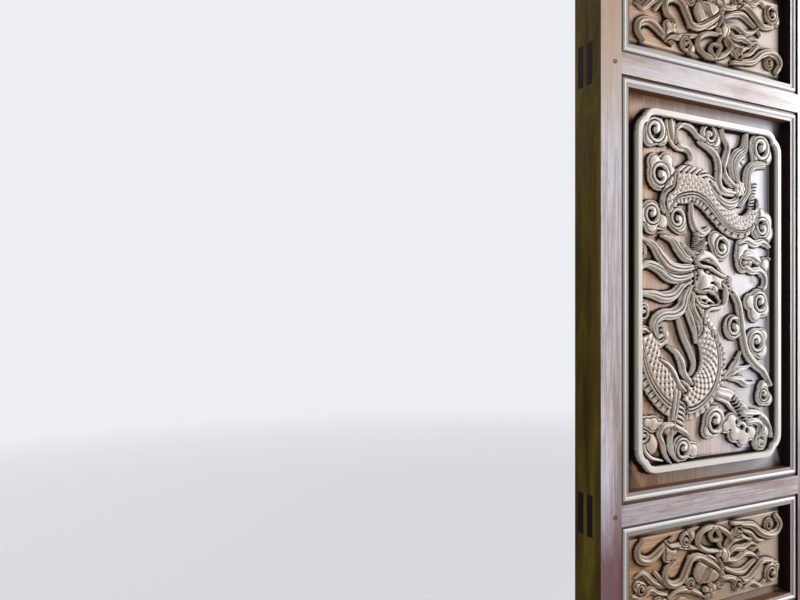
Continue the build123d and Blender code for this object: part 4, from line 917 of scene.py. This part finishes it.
def ribbons():
    """Heights of the knotted ribbons and scrolling leaves."""
    f = new_field(SHORT_SLAB, SHORT_GROUND)
    # low leaves and stems behind
    lock(f, [(12, 84), (30, 90), (46, 80), (60, 68), (84, 58), (108, 60)], (4, 15, 8), 10)
    lock(f, [(62, 86), (74, 74), (88, 62), (106, 54)], (8, 12, 6), 11)
    lock(f, [(8, 52), (30, 48), (52, 56), (70, 46), (92, 40)], (8, 15, 6), 10)
    lock(f, [(96, 34), (120, 42), (146, 40), (170, 30), (188, 20)], (5, 13, 8), 11)
    lock(f, [(10, 22), (36, 12), (64, 18), (84, 30), (96, 22)], (6, 15, 6), 11)
    lock(f, [(104, 12), (128, 22), (150, 14), (172, 10)], (5, 13, 5), 10)
    cloud(f, [(28, 62, 13), (18, 70, 9)], 10, (28, 62, 12, 200, 1, 12))
    cloud(f, [(70, 30, 12)], 9, (70, 30, 11, 20, -1, 11))
    lock(f, [(250, 62), (272, 52), (300, 48), (322, 58), (340, 68), (352, 80)], (8, 15, 5), 12)
    lock(f, [(256, 76), (280, 74), (306, 82), (330, 76), (346, 66)], (8, 15, 5), 12)
    lock(f, [(254, 86), (276, 96), (300, 94), (324, 100), (344, 92)], (8, 15, 5), 12)
    lock(f, [(252, 96), (272, 112), (296, 116), (316, 108), (334, 112)], (8, 14, 5), 12)
    lock(f, [(246, 100), (262, 118), (284, 132), (306, 128)], (8, 14, 6), 12)
    cut(f, [(296, 104), (312, 106)], (7, 9), 7)
    cut(f, [(300, 64), (316, 68)], (8, 10), 7)
    cut(f, [(318, 88), (334, 84)], (6, 8), 7)
    # right: upper band that ends in a curl, lower branch with its two curls
    lock(f, [(268, 147), (300, 141), (330, 134), (356, 116), (384, 108), (406, 113), (414, 128), (402, 143)],
         (8, 15, 17, 12), 14)
    cloud(f, [(380, 130, 13)], 11, (380, 130, 12, 190, 1, 13))
    lock(f, [(300, 128), (322, 120), (342, 104), (362, 100)], (6, 12, 5), 12)
    lock(f, [(236, 44), (262, 42), (286, 32), (312, 30), (338, 44), (360, 58), (386, 54), (408, 42)],
         (9, 15, 13, 10), 13)
    cloud(f, [(388, 30, 20), (402, 40, 12)], 10, (388, 30, 18, 150, 1, 13))
    cloud(f, [(286, 24, 13)], 10, (286, 24, 12, 200, -1, 13))
    lock(f, [(306, 14), (330, 20), (352, 10), (366, 18)], (5, 12, 6), 11)
    cloud(f, [(286, 128, 12)], 11, (288, 128, 12, 320, 1, 13))
    # fan, and the flower below it
    pad(f, [(198, 70, 27), (182, 66, 20), (214, 66, 22), (190, 80, 18)], 12, line=1.0)
    for k in range(6):
        lock(f, [(176 + 4 * k, 46 + k), (186 + 3 * k, 66), (206 + 2 * k, 88 - k)], (2, 5, 3),
             14.5 - 0.2 * k, 0, 0.8)
    flower(f, 205, 28, 19, 13)
    ball(f, 240, 34, 13, 13, 11)
    cut(f, [(236, 34), (244, 34)], (11, 11), 9, 5.0, 0.3)
    lock(f, [(150, 100), (142, 82), (140, 64), (148, 50), (164, 44)], (8, 13, 6), 13)
    cloud(f, [(154, 50, 11)], 10, (154, 50, 10, 200, 1, 13))
    # upper left: leaf, lobed leaf and its curl
    lock(f, [(30, 148), (18, 134), (22, 118), (42, 111), (62, 117), (82, 130), (104, 141)],
         (10, 17, 17, 8), 14)
    pad(f, [(92, 124, 11), (92, 110, 11), (106, 104, 10), (104, 118, 12)], 12)
    lock(f, [(88, 138), (100, 128), (122, 126), (150, 118), (178, 112)], (6, 13, 7), 12)
    cloud(f, [(140, 134, 15), (154, 142, 11)], 11, (140, 134, 13, 300, 1, 13))
    # big ribbon, the loops of the bow and the knot
    lock(f, [(106, 98), (89, 88), (86, 70), (102, 57), (126, 60), (142, 80), (154, 96), (174, 97), (200, 84),
             (222, 70), (240, 54)], (10, 15, 15, 15, 10), 15)
    lock(f, [(232, 100), (200, 104), (176, 116), (172, 134), (192, 146), (222, 145), (252, 132), (264, 114),
             (248, 101)], (8, 11, 11, 11, 8), 14.5)
    lock(f, [(236, 102), (228, 116), (230, 130), (218, 146), (204, 136), (212, 122), (228, 124)],
         (6, 8, 6), 15.5)
    ball(f, 240, 90, 19, 14, 9, 8, -12, 0.35)
    cut(f, [(232, 98), (230, 88), (236, 80)], (2.5, 3, 2), 4)
    cut(f, [(246, 100), (248, 90), (243, 80)], (2.5, 3, 2), 4)
    lock(f, [(228, 84), (236, 70), (232, 56), (240, 44)], (8, 10, 5), 15)
    gu, gv = np.meshgrid(f.u, f.v)
    within = np.minimum(np.minimum(gu, f.u[-1] - gu), np.minimum(gv, f.v[-1] - gv))
    return f.h - 2.0 * held(1 - within / 3.0) ** 2


short_wood = panel_wood("panel_wood_level", "X", sheen_tone=(0.46, 0.36, 0.29),
                        raised_tone=(0.32, 0.19, 0.105), crest_highlight_tone=(0.60, 0.48, 0.36))
pattern = ribbons()
for name, slab, foot in (("bottom_panel", pattern, 438.0), ("middle_panel", pattern[::-1], 1478.0),
                         ("top_panel", pattern, 2518.0)):
    carved_panel(name, slab, foot, SHORT_MARGIN, SHORT_TRIANGLES, short_wood, SHORT_SHADE_REACH)

# Pegs of the leaf: leaf_pegs
# Twelve short hardwood pins, one through each rail's tenons in each stile, standing a little proud of the
# face. Pale end grain, as on the frame's pegs.
dress(peg_wood, "leaf_pegs")

# Locking bar: hasp_plate, hasp_screws, hasp_bar, catch_staple, catch_screws
# Bright steel bar with an eye at its foot. It hangs from a stud on the plate that is screwed to the back of
# the lock stile, and swings up to an eye on the lock post. Rubbed bright, with cloudy duller patches; the
# screws are duller.


def steel(name, tone, rough):
    """Rubbed steel with fine scratches and cloudy dull patches."""
    material, tree, skin = new_material(name)
    here = add_node(tree, "TexCoord").outputs["Object"]
    patches = noise(here, 90, 6)
    run = add_node(tree, "Mapping", {"Vector": here, "Scale": (1, 1, 0.04)})
    scratches = noise(run.outputs["Vector"], 1800)
    wire(skin, {"Metallic": 1.0,
                "Base Color": graded(patches, (0.35, 0.60), ([0.45 * c for c in tone], tone)),
                "Roughness": between(patches, 0.35, 0.65, rough + 0.22, rough),
                "Normal": bumped(scratches, 0.12, 0.0002)})
    return material


bright_steel = steel("rubbed_steel", (0.72, 0.74, 0.75), rough=0.24)
dull_steel = steel("dull_steel", (0.42, 0.42, 0.41), rough=0.36)
dress(bright_steel, "hasp_bar", "hasp_plate", "catch_staple")
dress(dull_steel, "hasp_screws", "catch_screws")
